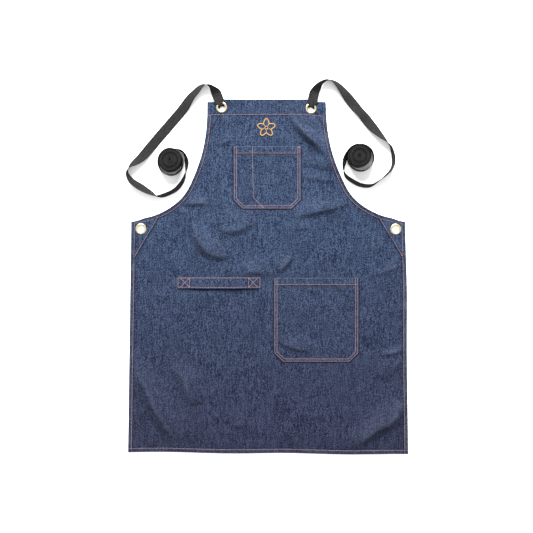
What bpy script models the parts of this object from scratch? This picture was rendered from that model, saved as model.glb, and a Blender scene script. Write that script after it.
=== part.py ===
"""A denim bib apron laid flat on its back, with cross-back webbing straps rolled up beside the bib.

Metres, +Z up, bib towards +Y. The origin is the middle of the panel's underside, on the surface it lies on.
"""

import math

import bmesh
import bpy
from mathutils import Vector

# Cloth and clearances
CLOTH = 0.0009
GAP = 0.0003
THREAD_RADIUS = 0.0003

# Panel
LENGTH = 0.885
TOP = LENGTH / 2
BIB_HALF = 0.148
WAIST_HALF = 0.342
SKIRT_HALF = 0.350
BIB_HEIGHT = 0.300
WAIST_Y = TOP - BIB_HEIGHT
BIB_SHIFT = -0.004  # the bib lies this far to the left at its top edge
ARMHOLE_BOW = 2.4
ARMHOLE_ROUND = 0.51
ARMHOLE_DIP = 0.0092  # the armhole is cut this much deeper a little above the waist
DIP_ABOVE_WAIST = 0.0475
DIP_SPAN = 0.048
DIP_EASE = 0.010
ARMHOLE_ROWS = 15
SKIRT_ROWS = 6
PANEL_COLUMNS = 8

# The top hem lies on the straps' lower legs, and slopes down to the floor below them
HEM_RISE = 0.0020
RAMP_START = 0.044
RAMP_END = 0.110

# Hems, as distances in from the edge
SIDE_STITCH = 0.0085
TOP_STITCH = 0.037
BOTTOM_STITCH = 0.0095
HEM_END = 0.003
HEM_STEPS = 30
ARMHOLE_START = 0.04
ARMHOLE_END = 0.975
ARMHOLE_STEP = 0.01

# Eyelets and the washers they are set on
HOLE_RADIUS = 0.0080
BARREL_RADIUS = 0.0085
CUT_RADIUS = 0.0089
FLANGE_RADIUS = 0.0135
FLANGE = 0.0007
FLAT_INNER = 0.0098
FLAT_OUTER = 0.0122
RIM_DROP = 0.0003
NECK_DROP = 0.0012
NECK_FLARE = 0.0009
WASHER = 0.0004
WASHER_SEAT = 0.00055
SEAT_RADIUS = 0.0139
CUT_TOP = 0.006
CUT_BOTTOM = -0.003
TURNED_STEPS = 32
BIB_EYELETS = {"left": (-0.116, 0.4222), "right": (0.107, 0.4200)}
WAIST_EYELETS = {"left": (-0.3175, 0.1193), "right": (0.3185, 0.1185)}

# Waist patches: triangles over the corners that carry the waist eyelets
PATCH_ALONG = 0.072
PATCH_DOWN = 0.098
PATCH_TIP = 0.05
PATCH_INSET = 0.0012
PATCH_CORNER = 0.42
PATCH_COLUMNS = 14
SLANT_STITCH = 0.005
SLANT_START = 0.22
SLANT_END = 0.78
PATCH_NEAR = 0.008
PATCH_OVER = 0.030

# Pockets, as (left, right, bottom, top)
BIB_POCKET = (-0.0858, 0.0810, 0.1695, 0.3248)
HIP_POCKET = (0.0155, 0.2250, -0.2125, -0.0033)
POCKET_CORNER = 0.022
POCKET_HEM = 0.017
OUTER_STITCH = 0.0014
INNER_STITCH = 0.0068
PENCIL_SLOT = 0.048
SLOT_END = 0.028
SLOT_TURN = 0.022
THREAD_CLEAR = 0.002  # rows of stitching stop this far short of each other

# Towel loop
LOOP_LEFT = -0.226
LOOP_RIGHT = -0.019
LOOP_MIDDLE_Y = -0.0158
LOOP_WIDTH = 0.0285
LOOP_END = 0.029
LOOP_SLOPE = 0.018
LOOP_STAND = 0.0056

# Embroidered flower on the bib
FLOWER_PLACE = (-0.0043, 0.3713)
FLOWER_RADIUS = 0.0175
FLOWER_WAVE = 0.0048
FLOWER_PETALS = 5
FLOWER_POINTS = 60
FLOWER_HEIGHT = 0.0006

# Straps
WEBBING = 0.025
WEB = 0.0015
FLOOR_GAP = 0.0001
BUNCHED = 0.011
BUNCH_REACH = 0.0055
SPREAD_REACH = 0.018
JOIN_HEIGHT = 0.0029
LEG_CLIMB = 0.0040
TURN_REACH = 0.0045
TURN_STEPS = 8
ROUTE_STEPS = 4
RUN_LIFT = 0.0018
BAR_REACH = 0.0412
BAR_HALF = 0.008

# The sewn loop's two legs, as distances from the eyelet's middle, with the upper leg's heights
LOWER_LEG = (0.047, 0.036, 0.026, 0.018, 0.012, 0.008)
UPPER_LEG = (
    (0.0090, 0.0049), (0.0145, 0.0049), (0.0220, 0.0044), (0.0325, 0.0043),
    (0.0355, 0.0037), (0.0390, JOIN_HEIGHT), (0.0440, JOIN_HEIGHT),
)
STRAP_HEADING = {"left": 110.5, "right": 78.2}
ROLL_PLACE = {"left": (-0.2424, 0.2850), "right": (0.2298, 0.2948)}
ROLL_RADIUS = {"left": 0.0325, "right": 0.0322}
ROLL_STEPS = 40

# Each strap's way from its sewn loop to its roll: x, y, and its lean in degrees. At 0 it lies flat, at 90 it
# stands on edge, and at 180 it lies flat with its other face up.
STRAP_ROUTE = {
    "left": (
        (-0.1367, 0.4663, 56), (-0.1425, 0.4721, 74), (-0.1499, 0.4762, 90), (-0.1582, 0.4769, 110),
        (-0.1655, 0.4739, 124), (-0.1728, 0.4680, 132), (-0.1817, 0.4578, 140), (-0.1915, 0.4484, 147),
        (-0.2018, 0.4335, 163), (-0.2146, 0.4155, 178), (-0.2296, 0.3978, 180), (-0.2596, 0.3631, 180),
        (-0.2896, 0.3281, 180), (-0.3041, 0.3101, 172), (-0.3183, 0.2944, 155), (-0.3327, 0.2829, 135),
        (-0.3439, 0.2743, 112), (-0.3510, 0.2621, 90), (-0.3478, 0.2492, 70), (-0.3386, 0.2369, 56),
        (-0.3183, 0.2232, 46), (-0.2988, 0.2114, 58), (-0.2848, 0.2033, 74), (-0.2778, 0.1994, 92),
        (-0.2627, 0.2008, 106), (-0.2489, 0.2061, 106), (-0.2351, 0.2124, 107), (-0.2229, 0.2224, 107),
        (-0.2130, 0.2362, 104), (-0.2063, 0.2527, 94), (-0.2025, 0.2693, 78), (-0.2022, 0.2845, 72),
        (-0.2063, 0.3011, 82), (-0.2129, 0.3118, 90), (-0.2249, 0.3156, 90), (-0.2380, 0.3188, 90),
    ),
    "right": (
        (0.1198, 0.4656, 34), (0.1249, 0.4738, 54), (0.1317, 0.4806, 72), (0.1405, 0.4867, 86),
        (0.1471, 0.4892, 92), (0.1566, 0.4885, 108), (0.1683, 0.4816, 124), (0.1784, 0.4720, 134),
        (0.1891, 0.4590, 148), (0.2008, 0.4445, 168), (0.2129, 0.4298, 176), (0.2251, 0.4148, 160),
        (0.2362, 0.4030, 162), (0.2456, 0.3917, 174), (0.2552, 0.3791, 170), (0.2665, 0.3658, 154),
        (0.2791, 0.3520, 134), (0.2926, 0.3390, 112), (0.3035, 0.3267, 92), (0.3085, 0.3129, 90),
        (0.3118, 0.2977, 88), (0.3121, 0.2825, 88), (0.3063, 0.2660, 88), (0.2919, 0.2508, 90),
        (0.2759, 0.2384, 92), (0.2588, 0.2268, 102), (0.2450, 0.2251, 106), (0.2257, 0.2290, 106),
        (0.2063, 0.2395, 106), (0.1925, 0.2508, 100), (0.1873, 0.2646, 86), (0.1884, 0.2798, 76),
        (0.1925, 0.2964, 76), (0.1997, 0.3124, 84), (0.2096, 0.3240, 90), (0.2239, 0.3283, 90),
    ),
}

SIDES = {"left": -1, "right": 1}
DENIM = (0.056, 0.072, 0.130)
COPPER = (0.42, 0.20, 0.15)
BLACK = (0.030, 0.030, 0.032)
GOLD = (0.80, 0.68, 0.44)
AMBER = (0.75, 0.38, 0.09)


def clear_scene():
    for old in list(bpy.data.objects):
        bpy.data.objects.remove(old, do_unlink=True)


def new_collection(name):
    collection = bpy.data.collections.new(name)
    bpy.context.scene.collection.children.link(collection)
    return collection


def material(name, colour, roughness=0.9, metallic=0.0):
    made = bpy.data.materials.get(name)
    if made is None:
        made = bpy.data.materials.new(name)
        made.use_nodes = True
        shader = made.node_tree.nodes["Principled BSDF"]
        shader.inputs["Base Color"].default_value = (*colour, 1)
        shader.inputs["Roughness"].default_value = roughness
        shader.inputs["Metallic"].default_value = metallic
        made.diffuse_color = (*colour, 1)
    return made


def add_object(name, data, coat, place=(0, 0, 0), parent=None):
    """Links data under this name, at a place given in the world, on its parent if it has one."""
    made = bpy.data.objects.new(name, data)
    PARTS.objects.link(made)
    if coat:
        data.materials.append(coat)
    made.parent = parent
    made.location = Vector(place) - (parent.location if parent else Vector())
    return made


def blend(a, b, share):
    return a + (b - a) * share


def clamp(value):
    return min(1.0, max(0.0, value))


def smooth(share):
    share = clamp(share)
    return share * share * (3 - 2 * share)


# ---- The panel's outline and heights ----


def half_width(y):
    """Half the panel's width at y: a slight flare below the waist, the armhole's curve above it."""
    if y < WAIST_Y:
        return blend(SKIRT_HALF, WAIST_HALF, (y + TOP) / (WAIST_Y + TOP))
    down = clamp((TOP - y) / BIB_HEIGHT)
    bow = (1 - down**ARMHOLE_BOW) ** ARMHOLE_ROUND
    above = y - WAIST_Y
    dip = ARMHOLE_DIP * math.exp(-(((above - DIP_ABOVE_WAIST) / DIP_SPAN) ** 2)) * smooth(above / DIP_EASE)
    return WAIST_HALF - (WAIST_HALF - BIB_HALF) * bow - dip


def middle_x(y):
    return BIB_SHIFT * clamp((y - WAIST_Y) / BIB_HEIGHT)


def rise(y):
    """The height of the panel's underside at y."""
    down = TOP - y
    return HEM_RISE * clamp((RAMP_END - down) / (RAMP_END - RAMP_START))


def panel_top(y):
    return rise(y) + CLOTH


def armhole_y(share):
    """Heights down the armhole, from 0 at the top edge to 1 at the waist, closer together near the waist."""
    return TOP - BIB_HEIGHT * math.sin(share * math.pi / 2) ** (2 / ARMHOLE_BOW)


def armhole_point(share, side, inset=0.0):
    """A point on the armhole's edge, or inset from it at right angles to the edge."""
    ends = [clamp(share - ARMHOLE_STEP), clamp(share + ARMHOLE_STEP)]
    here, there = [Vector((half_width(armhole_y(s)), armhole_y(s))) for s in ends]
    along = (there - here).normalized()
    y = armhole_y(share)
    x = half_width(y) + along.y * inset
    y -= along.x * inset
    return side * x + middle_x(y), y


def panel_rows():
    rows = [blend(-TOP, WAIST_Y, i / SKIRT_ROWS) for i in range(SKIRT_ROWS)]
    rows += [armhole_y(i / ARMHOLE_ROWS) for i in range(ARMHOLE_ROWS + 1)]
    rows += [TOP - RAMP_START, TOP - RAMP_END]
    return sorted(rows)


# ---- Builders ----


def sheet(name, columns, rows, place, thickness, coat, origin=(0, 0, 0), parent=None, offset=1.0):
    """A solid sheet: its grid point (column, row), each from 0 to 1, goes to place(column, row)."""
    bm = bmesh.new()
    bmesh.ops.create_grid(bm, x_segments=columns, y_segments=rows, size=0.5)
    for vertex in bm.verts:
        column = round((vertex.co.x + 0.5) * columns) / columns
        row = round((vertex.co.y + 0.5) * rows) / rows
        vertex.co = Vector(place(column, row)) - Vector(origin)
    bmesh.ops.recalc_face_normals(bm, faces=bm.faces)
    if sum(face.normal.z for face in bm.faces) < 0:
        bmesh.ops.reverse_faces(bm, faces=bm.faces)
    mesh = bpy.data.meshes.new(name)
    bm.to_mesh(mesh)
    bm.free()
    made = add_object(name, mesh, coat, origin, parent)
    solid = made.modifiers.new("thickness", "SOLIDIFY")
    solid.thickness = thickness
    solid.offset = offset
    solid.use_even_offset = True
    return made


def thread(name, points, parent=None, cyclic=False):
    """A row of stitching as one thread lying on the cloth."""
    curve = bpy.data.curves.new(name, "CURVE")
    curve.dimensions = "3D"
    curve.bevel_depth = THREAD_RADIUS
    curve.bevel_resolution = 0
    curve.use_fill_caps = True
    spline = curve.splines.new("POLY")
    spline.points.add(len(points) - 1)
    origin = parent.location if parent else Vector()
    for point, place in zip(spline.points, points):
        point.co = (*(Vector(place) - origin), 1)
    spline.use_cyclic_u = cyclic
    return add_object(name, curve, material("thread", COPPER, 0.8), origin, parent)


def turned(name, profile, coat, place, collection=None):
    """A ring turned about +Z from a closed profile of (radius, height), outer side first and downwards."""
    bm = bmesh.new()
    points = [bm.verts.new((radius, 0, height)) for radius, height in profile]
    for here, there in zip(points, points[1:] + points[:1]):
        if here.co.x or there.co.x:
            bm.edges.new((here, there))
    mesh = bpy.data.meshes.new(name)
    bm.to_mesh(mesh)
    bm.free()
    made = add_object(name, mesh, coat, place)
    screw = made.modifiers.new("turn", "SCREW")
    screw.axis = "Z"
    screw.steps = screw.render_steps = TURNED_STEPS
    screw.use_merge_vertices = True
    screw.merge_threshold = 0.00001
    if collection:
        PARTS.objects.unlink(made)
        collection.objects.link(made)
    return made


def eyelet_cutter(name, place, under):
    """The hole for an eyelet's barrel, with the seat that the washer presses into the underside."""
    seat = under + WASHER_SEAT
    profile = [
        (0, CUT_TOP),
        (CUT_RADIUS, CUT_TOP),
        (CUT_RADIUS, seat),
        (SEAT_RADIUS, seat),
        (SEAT_RADIUS, CUT_BOTTOM),
        (0, CUT_BOTTOM),
    ]
    cutter = turned(name, profile, None, (*place, 0), CUTTERS)
    cutter.hide_render = True
    cutter.display_type = "WIRE"
    return cutter


def cut(target, cutter):
    boolean = target.modifiers.new(cutter.name, "BOOLEAN")
    boolean.operation = "DIFFERENCE"
    boolean.object = cutter


def panel():
    rows = panel_rows()

    def place(column, row):
        y = rows[round(row * (len(rows) - 1))]
        return (2 * column - 1) * half_width(y) + middle_x(y), y, rise(y)

    return sheet("apron_panel", PANEL_COLUMNS, len(rows) - 1, place, CLOTH, material("denim", DENIM))


def patch(side_name):
    """The triangle over a waist corner: one edge follows the armhole, one the side, one is the slant."""
    side = SIDES[side_name]
    edge = WAIST_HALF - PATCH_INSET
    shares = [blend(PATCH_TIP, 1 - PATCH_TIP, i / PATCH_COLUMNS) for i in range(PATCH_COLUMNS + 1)]
    nearest = min(shares, key=lambda s: abs(s - PATCH_CORNER))
    shares[shares.index(nearest)] = PATCH_CORNER

    def edge_y(x):
        """The armhole's height at a distance x from the middle, by halving."""
        low, high = WAIST_Y, TOP
        for _ in range(40):
            middle = (low + high) / 2
            low, high = (middle, high) if half_width(middle) > x else (low, middle)
        return low

    start = Vector((edge - PATCH_ALONG, edge_y(edge - PATCH_ALONG) - PATCH_INSET))
    end = Vector((half_width(WAIST_Y - PATCH_DOWN) - PATCH_INSET, WAIST_Y - PATCH_DOWN))

    def outline(share):
        if share < PATCH_CORNER:
            x = blend(start.x, edge, share / PATCH_CORNER)
            return Vector((x, edge_y(x) - PATCH_INSET))
        y = blend(WAIST_Y - PATCH_INSET, end.y, (share - PATCH_CORNER) / (1 - PATCH_CORNER))
        return Vector((half_width(y) - PATCH_INSET, y))

    def place(column, row):
        share = shares[round(column * PATCH_COLUMNS)]
        point = start.lerp(end, share).lerp(outline(share), row)
        return side * point.x, point.y, CLOTH + GAP

    made = sheet(f"waist_patch_{side_name}", PATCH_COLUMNS, 4, place, CLOTH, material("denim", DENIM))
    slant = [start.lerp(end, SLANT_START), start.lerp(end, SLANT_END)]
    inward = Vector((slant[1].y - slant[0].y, slant[0].x - slant[1].x)).normalized()
    slant = [point - inward * SLANT_STITCH for point in slant]
    height = 2 * CLOTH + 2 * GAP + THREAD_RADIUS
    thread(f"patch_thread_{side_name}", [(side * p.x, p.y, height) for p in slant])
    return made


def eyelet(name, place, under, over):
    """A flanged barrel from the front, set on a flat washer behind."""
    top = over + GAP + FLANGE
    profile = [
        (FLAT_INNER, top),
        (FLAT_OUTER, top),
        (FLANGE_RADIUS - RIM_DROP, top - RIM_DROP),
        (FLANGE_RADIUS, top - FLANGE),
        (BARREL_RADIUS + NECK_FLARE, top - FLANGE),
        (BARREL_RADIUS, top - NECK_DROP),
        (BARREL_RADIUS, under + FLOOR_GAP),
        (HOLE_RADIUS, under + FLOOR_GAP),
        (HOLE_RADIUS, top - NECK_DROP),
        (BARREL_RADIUS, top - RIM_DROP),
    ]
    brass = material("brass", GOLD, 0.3, 1.0)
    turned(name, profile, brass, (*place, 0))
    ring = [
        (FLANGE_RADIUS, under + WASHER), (FLANGE_RADIUS, under),
        (CUT_RADIUS, under), (CUT_RADIUS, under + WASHER),
    ]
    turned(name.replace("eyelet", "washer"), ring, brass, (*place, 0))


def pocket(name, box, slot):
    """A patch pocket with its lower corners cut off, stitched twice round three sides, with a hemmed top."""
    left, right, bottom, top = box

    def inset_at(y):
        return max(0.0, POCKET_CORNER - (y - bottom))

    levels = [bottom, bottom + POCKET_CORNER, (bottom + top) / 2, top]

    def place(column, row):
        y = levels[round(row * 3)]
        return blend(left + inset_at(y), right - inset_at(y), column), y, CLOTH + GAP

    sheet(name, 4, 3, place, CLOTH, material("denim", DENIM))
    z = 2 * CLOTH + 2 * GAP + THREAD_RADIUS
    for label, inset in (("outer", OUTER_STITCH), ("inner", INNER_STITCH)):
        corner = POCKET_CORNER - inset * (2 - math.sqrt(2))
        a, b, c, d = left + inset, right - inset, bottom + inset, top - THREAD_CLEAR
        outline = [(a, d), (a, c + corner), (a + corner, c), (b - corner, c), (b, c + corner), (b, d)]
        thread(f"{name}_{label}_thread", [(x, y, z) for x, y in outline])
    y = top - POCKET_HEM
    reach = INNER_STITCH + THREAD_CLEAR
    thread(f"{name}_hem_thread", [(left + reach, y, z), (right - reach, y, z)])
    if slot:
        x = left + PENCIL_SLOT
        turn = bottom + SLOT_END
        path = [(x, y - THREAD_CLEAR, z), (x, turn, z), (x + SLOT_TURN, bottom + reach, z)]
        thread("pencil_slot_thread", path)


def loop_lift(x):
    """How far the towel loop stands off the panel at x."""
    inside = min(x - LOOP_LEFT, LOOP_RIGHT - x) - LOOP_END
    return LOOP_STAND * smooth(inside / LOOP_SLOPE)


def towel_loop():
    flat = [LOOP_LEFT, LOOP_LEFT + LOOP_END]
    climb = [LOOP_LEFT + LOOP_END + LOOP_SLOPE * i / 4 for i in range(1, 5)]
    half = flat + climb
    stations = half + [LOOP_LEFT + LOOP_RIGHT - x for x in reversed(half)]
    low = LOOP_MIDDLE_Y - LOOP_WIDTH / 2

    def place(column, row):
        x = stations[round(column * (len(stations) - 1))]
        return x, low + row * LOOP_WIDTH, CLOTH + GAP + loop_lift(x)

    sheet("towel_loop", len(stations) - 1, 1, place, CLOTH, material("denim", DENIM))
    z = 2 * CLOTH + 2 * GAP + THREAD_RADIUS
    inset, reach = THREAD_CLEAR, LOOP_END - 0.003
    for side_name, outer, inner in (
        ("left", LOOP_LEFT + inset, LOOP_LEFT + reach),
        ("right", LOOP_RIGHT - inset, LOOP_RIGHT - reach),
    ):
        high = low + LOOP_WIDTH - inset
        bottom = low + inset
        corners = [(inner, high - THREAD_CLEAR), (inner, bottom), (outer, bottom), (outer, high)]
        corners.append((inner, high))
        thread(f"towel_loop_thread_{side_name}", [(x, y, z) for x, y in corners])
    for label, y in (("upper", low + LOOP_WIDTH - inset), ("lower", low + inset)):
        path = [(x, y, z + loop_lift(x)) for x in stations[2:-2]]
        thread(f"towel_loop_thread_{label}", path)


def flower():
    """A five-petalled flower of raised embroidery, on the sloping part of the bib."""
    curve = bpy.data.curves.new("embroidered_flower", "CURVE")
    curve.dimensions = "2D"
    curve.fill_mode = "BOTH"
    curve.extrude = FLOWER_HEIGHT / 2
    spline = curve.splines.new("POLY")
    spline.points.add(FLOWER_POINTS - 1)
    spline.use_cyclic_u = True
    for i, point in enumerate(spline.points):
        turn = 2 * math.pi * i / FLOWER_POINTS
        reach = FLOWER_RADIUS + FLOWER_WAVE * math.cos(FLOWER_PETALS * (turn - math.pi / 2))
        point.co = (reach * math.cos(turn), reach * math.sin(turn), 0, 1)
    x, y = FLOWER_PLACE
    height = panel_top(y) + GAP + FLOWER_HEIGHT / 2
    made = add_object("embroidered_flower", curve, material("embroidery", AMBER, 0.6), (x, y, height))
    made.rotation_euler.x = math.atan(HEM_RISE / (RAMP_END - RAMP_START))


# ---- Hem stitching ----


def on_patch(x, y):
    """Is the point on a waist patch, or close to its edge?"""
    across = abs(x) > WAIST_HALF - PATCH_ALONG - PATCH_NEAR
    return across and WAIST_Y - PATCH_DOWN - PATCH_NEAR < y < WAIST_Y + PATCH_OVER


def stitch_height(x, y):
    base = panel_top(y) + GAP + THREAD_RADIUS
    return base + CLOTH + GAP if on_patch(x, y) else base


def hem_threads():
    y = TOP - TOP_STITCH
    reach = BIB_HALF - SIDE_STITCH - 2 * THREAD_CLEAR
    path = [(side * reach + BIB_SHIFT, y, stitch_height(0, y)) for side in (-1, 1)]
    thread("top_hem_thread", path)
    y = BOTTOM_STITCH - TOP
    reach = SKIRT_HALF - HEM_END
    thread("bottom_hem_thread", [(side * reach, y, stitch_height(0, y)) for side in (-1, 1)])
    for side_name, side in SIDES.items():
        path = []
        for i in range(HEM_STEPS + 1):
            y = blend(BOTTOM_STITCH - TOP + HEM_END, WAIST_Y - SIDE_STITCH - HEM_END, i / HEM_STEPS)
            x = side * (half_width(y) - SIDE_STITCH)
            path.append((x, y, stitch_height(x, y)))
        thread(f"side_hem_thread_{side_name}", path)
        path = []
        for i in range(2 * HEM_STEPS + 1):
            share = blend(ARMHOLE_START, ARMHOLE_END, i / (2 * HEM_STEPS))
            x, y = armhole_point(share, side, SIDE_STITCH)
            path.append((x, y, stitch_height(x, y)))
        thread(f"armhole_thread_{side_name}", path)


# ---- Straps ----


def spline_points(points, steps):
    """Points of a smooth curve through these, with this many steps from each to the next."""
    made = []
    last = len(points) - 1
    for i in range(last):
        a, b, c, d = [Vector(points[min(max(i + k, 0), last)]) for k in (-1, 0, 1, 2)]
        for step in range(steps):
            t = step / steps
            squared = (2 * a - 5 * b + 4 * c - d) * t**2
            cubed = (3 * b - a - 3 * c + d) * t**3
            made.append(0.5 * (2 * b + (c - a) * t + squared + cubed))
    return made + [Vector(points[-1])]


def loop_width(reach):
    """The webbing is bunched to pass the eyelet, and spreads to its full width past the rim."""
    return blend(BUNCHED, WEBBING, smooth((reach - BUNCH_REACH) / SPREAD_REACH))


def strap_loop(side_name):
    """Sections of the sewn loop round the hem: out under it, up through the eyelet, and back over it."""
    heading = math.radians(STRAP_HEADING[side_name])
    out = Vector((math.cos(heading), math.sin(heading), 0))
    across = Vector((-out.y, out.x, 0))
    eye = Vector((*BIB_EYELETS[side_name], 0))
    under = FLOOR_GAP + WEB / 2
    turn = LEG_CLIMB / 2
    profile = [(reach, under) for reach in LOWER_LEG]
    for i in range(TURN_STEPS + 1):
        angle = math.pi * (1.5 - i / TURN_STEPS)
        profile.append((TURN_REACH + turn * math.cos(angle), under + turn + turn * math.sin(angle)))
    profile += UPPER_LEG
    return [(eye + out * reach + Vector((0, 0, z)), across * loop_width(reach) / 2) for reach, z in profile]


def strap_run(side_name):
    """Sections from the loop to the roll, lying on the floor or leaning up on one edge."""
    side = SIDES[side_name]
    points = spline_points(STRAP_ROUTE[side_name], ROUTE_STEPS)
    sections = []
    for i, (x, y, lean) in enumerate(points):
        before, after = points[max(i - 1, 0)], points[min(i + 1, len(points) - 1)]
        along = Vector((after.x - before.x, after.y - before.y, 0)).normalized()
        across = Vector((-along.y, along.x, 0))
        eased = smooth(i / (2 * ROUTE_STEPS))
        tilt = math.radians(lean) * eased * side
        half = across * math.cos(tilt) + Vector((0, 0, math.sin(tilt)))
        z = FLOOR_GAP + abs(half.z) * WEBBING / 2 + abs(math.cos(tilt)) * WEB / 2
        z += RUN_LIFT * (1 - eased)
        sections.append((Vector((x, y, z)), half * WEBBING / 2))
    return sections


def strap(side_name):
    """One strap, hung on an empty at the middle of its eyelet, about which it swivels."""
    eye = (*BIB_EYELETS[side_name], 0)
    pivot = bpy.data.objects.new(f"strap_{side_name}_pivot", None)
    PARTS.objects.link(pivot)
    pivot.location = eye
    webbing = material("webbing", BLACK)
    sections = strap_loop(side_name) + strap_run(side_name)

    def place(column, row):
        centre, half = sections[round(column * (len(sections) - 1))]
        return centre + half * (2 * row - 1)

    sheet(f"strap_{side_name}_run", len(sections) - 1, 2, place, WEB, webbing, eye, pivot, offset=0.0)
    roll(side_name, webbing, pivot)
    heading = math.radians(STRAP_HEADING[side_name])
    out = Vector((math.cos(heading), math.sin(heading), 0))
    height = JOIN_HEIGHT + WEB / 2 + GAP + THREAD_RADIUS
    middle = Vector(eye) + out * BAR_REACH + Vector((0, 0, height))
    across = Vector((-out.y, out.x, 0)) * BAR_HALF
    thread(f"strap_{side_name}_join_thread", [middle - across, middle + across], pivot)


def roll(side_name, coat, pivot):
    """The rolled-up rest of the strap, standing on its edge."""
    bm = bmesh.new()
    radius = ROLL_RADIUS[side_name]
    bmesh.ops.create_cone(
        bm, cap_ends=True, segments=ROLL_STEPS, radius1=radius, radius2=radius, depth=WEBBING
    )
    mesh = bpy.data.meshes.new(f"strap_{side_name}_roll")
    bm.to_mesh(mesh)
    bm.free()
    place = (*ROLL_PLACE[side_name], FLOOR_GAP + WEBBING / 2)
    add_object(f"strap_{side_name}_roll", mesh, coat, place, pivot)


def build():
    cloth_panel = panel()
    for side_name in SIDES:
        corner = patch(side_name)
        bib, waist = BIB_EYELETS[side_name], WAIST_EYELETS[side_name]
        cut(cloth_panel, eyelet_cutter(f"bib_cutter_{side_name}", bib, HEM_RISE))
        waist_cutter = eyelet_cutter(f"waist_cutter_{side_name}", waist, 0)
        cut(cloth_panel, waist_cutter)
        cut(corner, waist_cutter)
        eyelet(f"bib_eyelet_{side_name}", bib, HEM_RISE, HEM_RISE + CLOTH)
        eyelet(f"waist_eyelet_{side_name}", waist, 0, 2 * CLOTH + GAP)
        strap(side_name)
    pocket("bib_pocket", BIB_POCKET, slot=True)
    pocket("hip_pocket", HIP_POCKET, slot=False)
    towel_loop()
    flower()
    hem_threads()


clear_scene()
PARTS = new_collection("bib_apron")
CUTTERS = new_collection("cutters")
build()
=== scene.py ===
"""The looks of the denim bib apron: cloth, stitching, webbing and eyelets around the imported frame."""

import math

import bpy
import numpy as np
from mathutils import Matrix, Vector


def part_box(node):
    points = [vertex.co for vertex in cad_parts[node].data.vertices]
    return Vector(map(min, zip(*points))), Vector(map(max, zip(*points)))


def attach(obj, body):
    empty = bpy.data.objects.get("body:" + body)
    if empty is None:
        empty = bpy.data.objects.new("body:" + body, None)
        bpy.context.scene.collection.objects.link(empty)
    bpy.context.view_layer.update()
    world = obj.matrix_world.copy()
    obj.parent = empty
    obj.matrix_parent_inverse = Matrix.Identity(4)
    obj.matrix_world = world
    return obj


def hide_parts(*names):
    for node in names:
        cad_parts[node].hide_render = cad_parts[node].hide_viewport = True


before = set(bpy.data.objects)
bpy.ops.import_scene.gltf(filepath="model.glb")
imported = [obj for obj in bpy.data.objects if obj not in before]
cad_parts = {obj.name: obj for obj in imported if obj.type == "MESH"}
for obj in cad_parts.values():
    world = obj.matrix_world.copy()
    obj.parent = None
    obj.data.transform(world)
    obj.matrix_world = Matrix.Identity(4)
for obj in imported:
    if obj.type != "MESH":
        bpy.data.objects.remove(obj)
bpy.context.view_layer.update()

# ---- Sizes, in metres, from the frame and the cloth itself ----

PANEL_LOW, PANEL_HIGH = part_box("apron_panel")
TOP = PANEL_HIGH.y
SKIRT_HALF = PANEL_HIGH.x
BIB_HALF = 0.148
WAIST_HALF = 0.342
BIB_HEIGHT = 0.300
WAIST_Y = TOP - BIB_HEIGHT
BIB_SHIFT = -0.004
ARMHOLE_BOW = 2.4
ARMHOLE_ROUND = 0.51
ARMHOLE_DIP = 0.0092  # the armhole is cut this much deeper a little above the waist
DIP_ABOVE_WAIST = 0.0475
DIP_SPAN = 0.048
DIP_EASE = 0.010

CLOTH = 0.0009
FOLD = 0.0015  # what a turned hem adds to the cloth's thickness
SIDE_STITCH = 0.0085
BOTTOM_STITCH = 0.0095
STITCH_PITCH = 0.0034
THREAD = 0.00042
CLEAR = 0.0003  # between two layers of cloth
ABOVE_FLOOR = 0.0001
POCKET_CORNER = 0.022
HOLE = 0.0088  # the hole in the cloth for an eyelet
HOLE_REACH = 0.0112  # the mesh round a hole is pushed back from within this
# The top hem's row of stitches dips at both ends: x and y along it
TOP_HEM = ((-0.150, 0.4023), (-0.104, 0.4048), (-0.001, 0.4035), (0.092, 0.4048), (0.136, 0.3993))
# Each waist patch's slanting row of stitches, as distances from the middle and heights
PATCH_SLANT = {"left": ((0.2745, 0.1495), (0.3325, 0.0518)), "right": ((0.2790, 0.1455), (0.3358, 0.0495))}
PATCH_SEAM = 0.0016
WEBBING = 0.0250
WEB = 0.0017
STRAP_HEADING = {"left": 110.5, "right": 78.2}
SIDES = {"left": -1, "right": 1}


def middle_of(node):
    low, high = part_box(node)
    return (low + high) / 2


BIB_EYES = {name: middle_of(f"bib_eyelet_{name}") for name in SIDES}
WAIST_EYES = {name: middle_of(f"waist_eyelet_{name}") for name in SIDES}

# ---- Small numeric helpers on arrays ----


def blend(a, b, share):
    return a + (b - a) * share


def smooth(share):
    share = np.clip(share, 0, 1)
    return share * share * (3 - 2 * share)


def bell(distance, width):
    return np.exp(-((distance / width) ** 2))


def hashed(ix, iy, seed):
    """A fixed pseudo-random number from -1 to 1 for each lattice point."""
    h = ix.astype(np.int64) * 374761393 + iy.astype(np.int64) * 668265263 + seed * 974634777
    h = (h ^ (h >> 13)) * 1274126177 & 0xFFFFFFFF
    h = (h ^ (h >> 16)) & 0xFFFFFFFF
    return h / 0x7FFFFFFF - 1.0


def noise(x, y, size, seed):
    """Smooth noise from -1 to 1 with features of about this size."""
    gx, gy = x / size + 1000.0, y / size + 1000.0
    ix, iy = np.floor(gx), np.floor(gy)
    fx, fy = gx - ix, gy - iy
    fx, fy = [f * f * f * (f * (f * 6 - 15) + 10) for f in (fx, fy)]
    low = blend(hashed(ix, iy, seed), hashed(ix + 1, iy, seed), fx)
    high = blend(hashed(ix, iy + 1, seed), hashed(ix + 1, iy + 1, seed), fx)
    return blend(low, high, fy)


def unit(rows):
    """Each row of an array of vectors, made one long."""
    return rows / np.maximum(np.linalg.norm(rows, axis=1), 1e-9)[:, None]


def tangents(line):
    return unit(np.gradient(line, axis=0))


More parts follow.
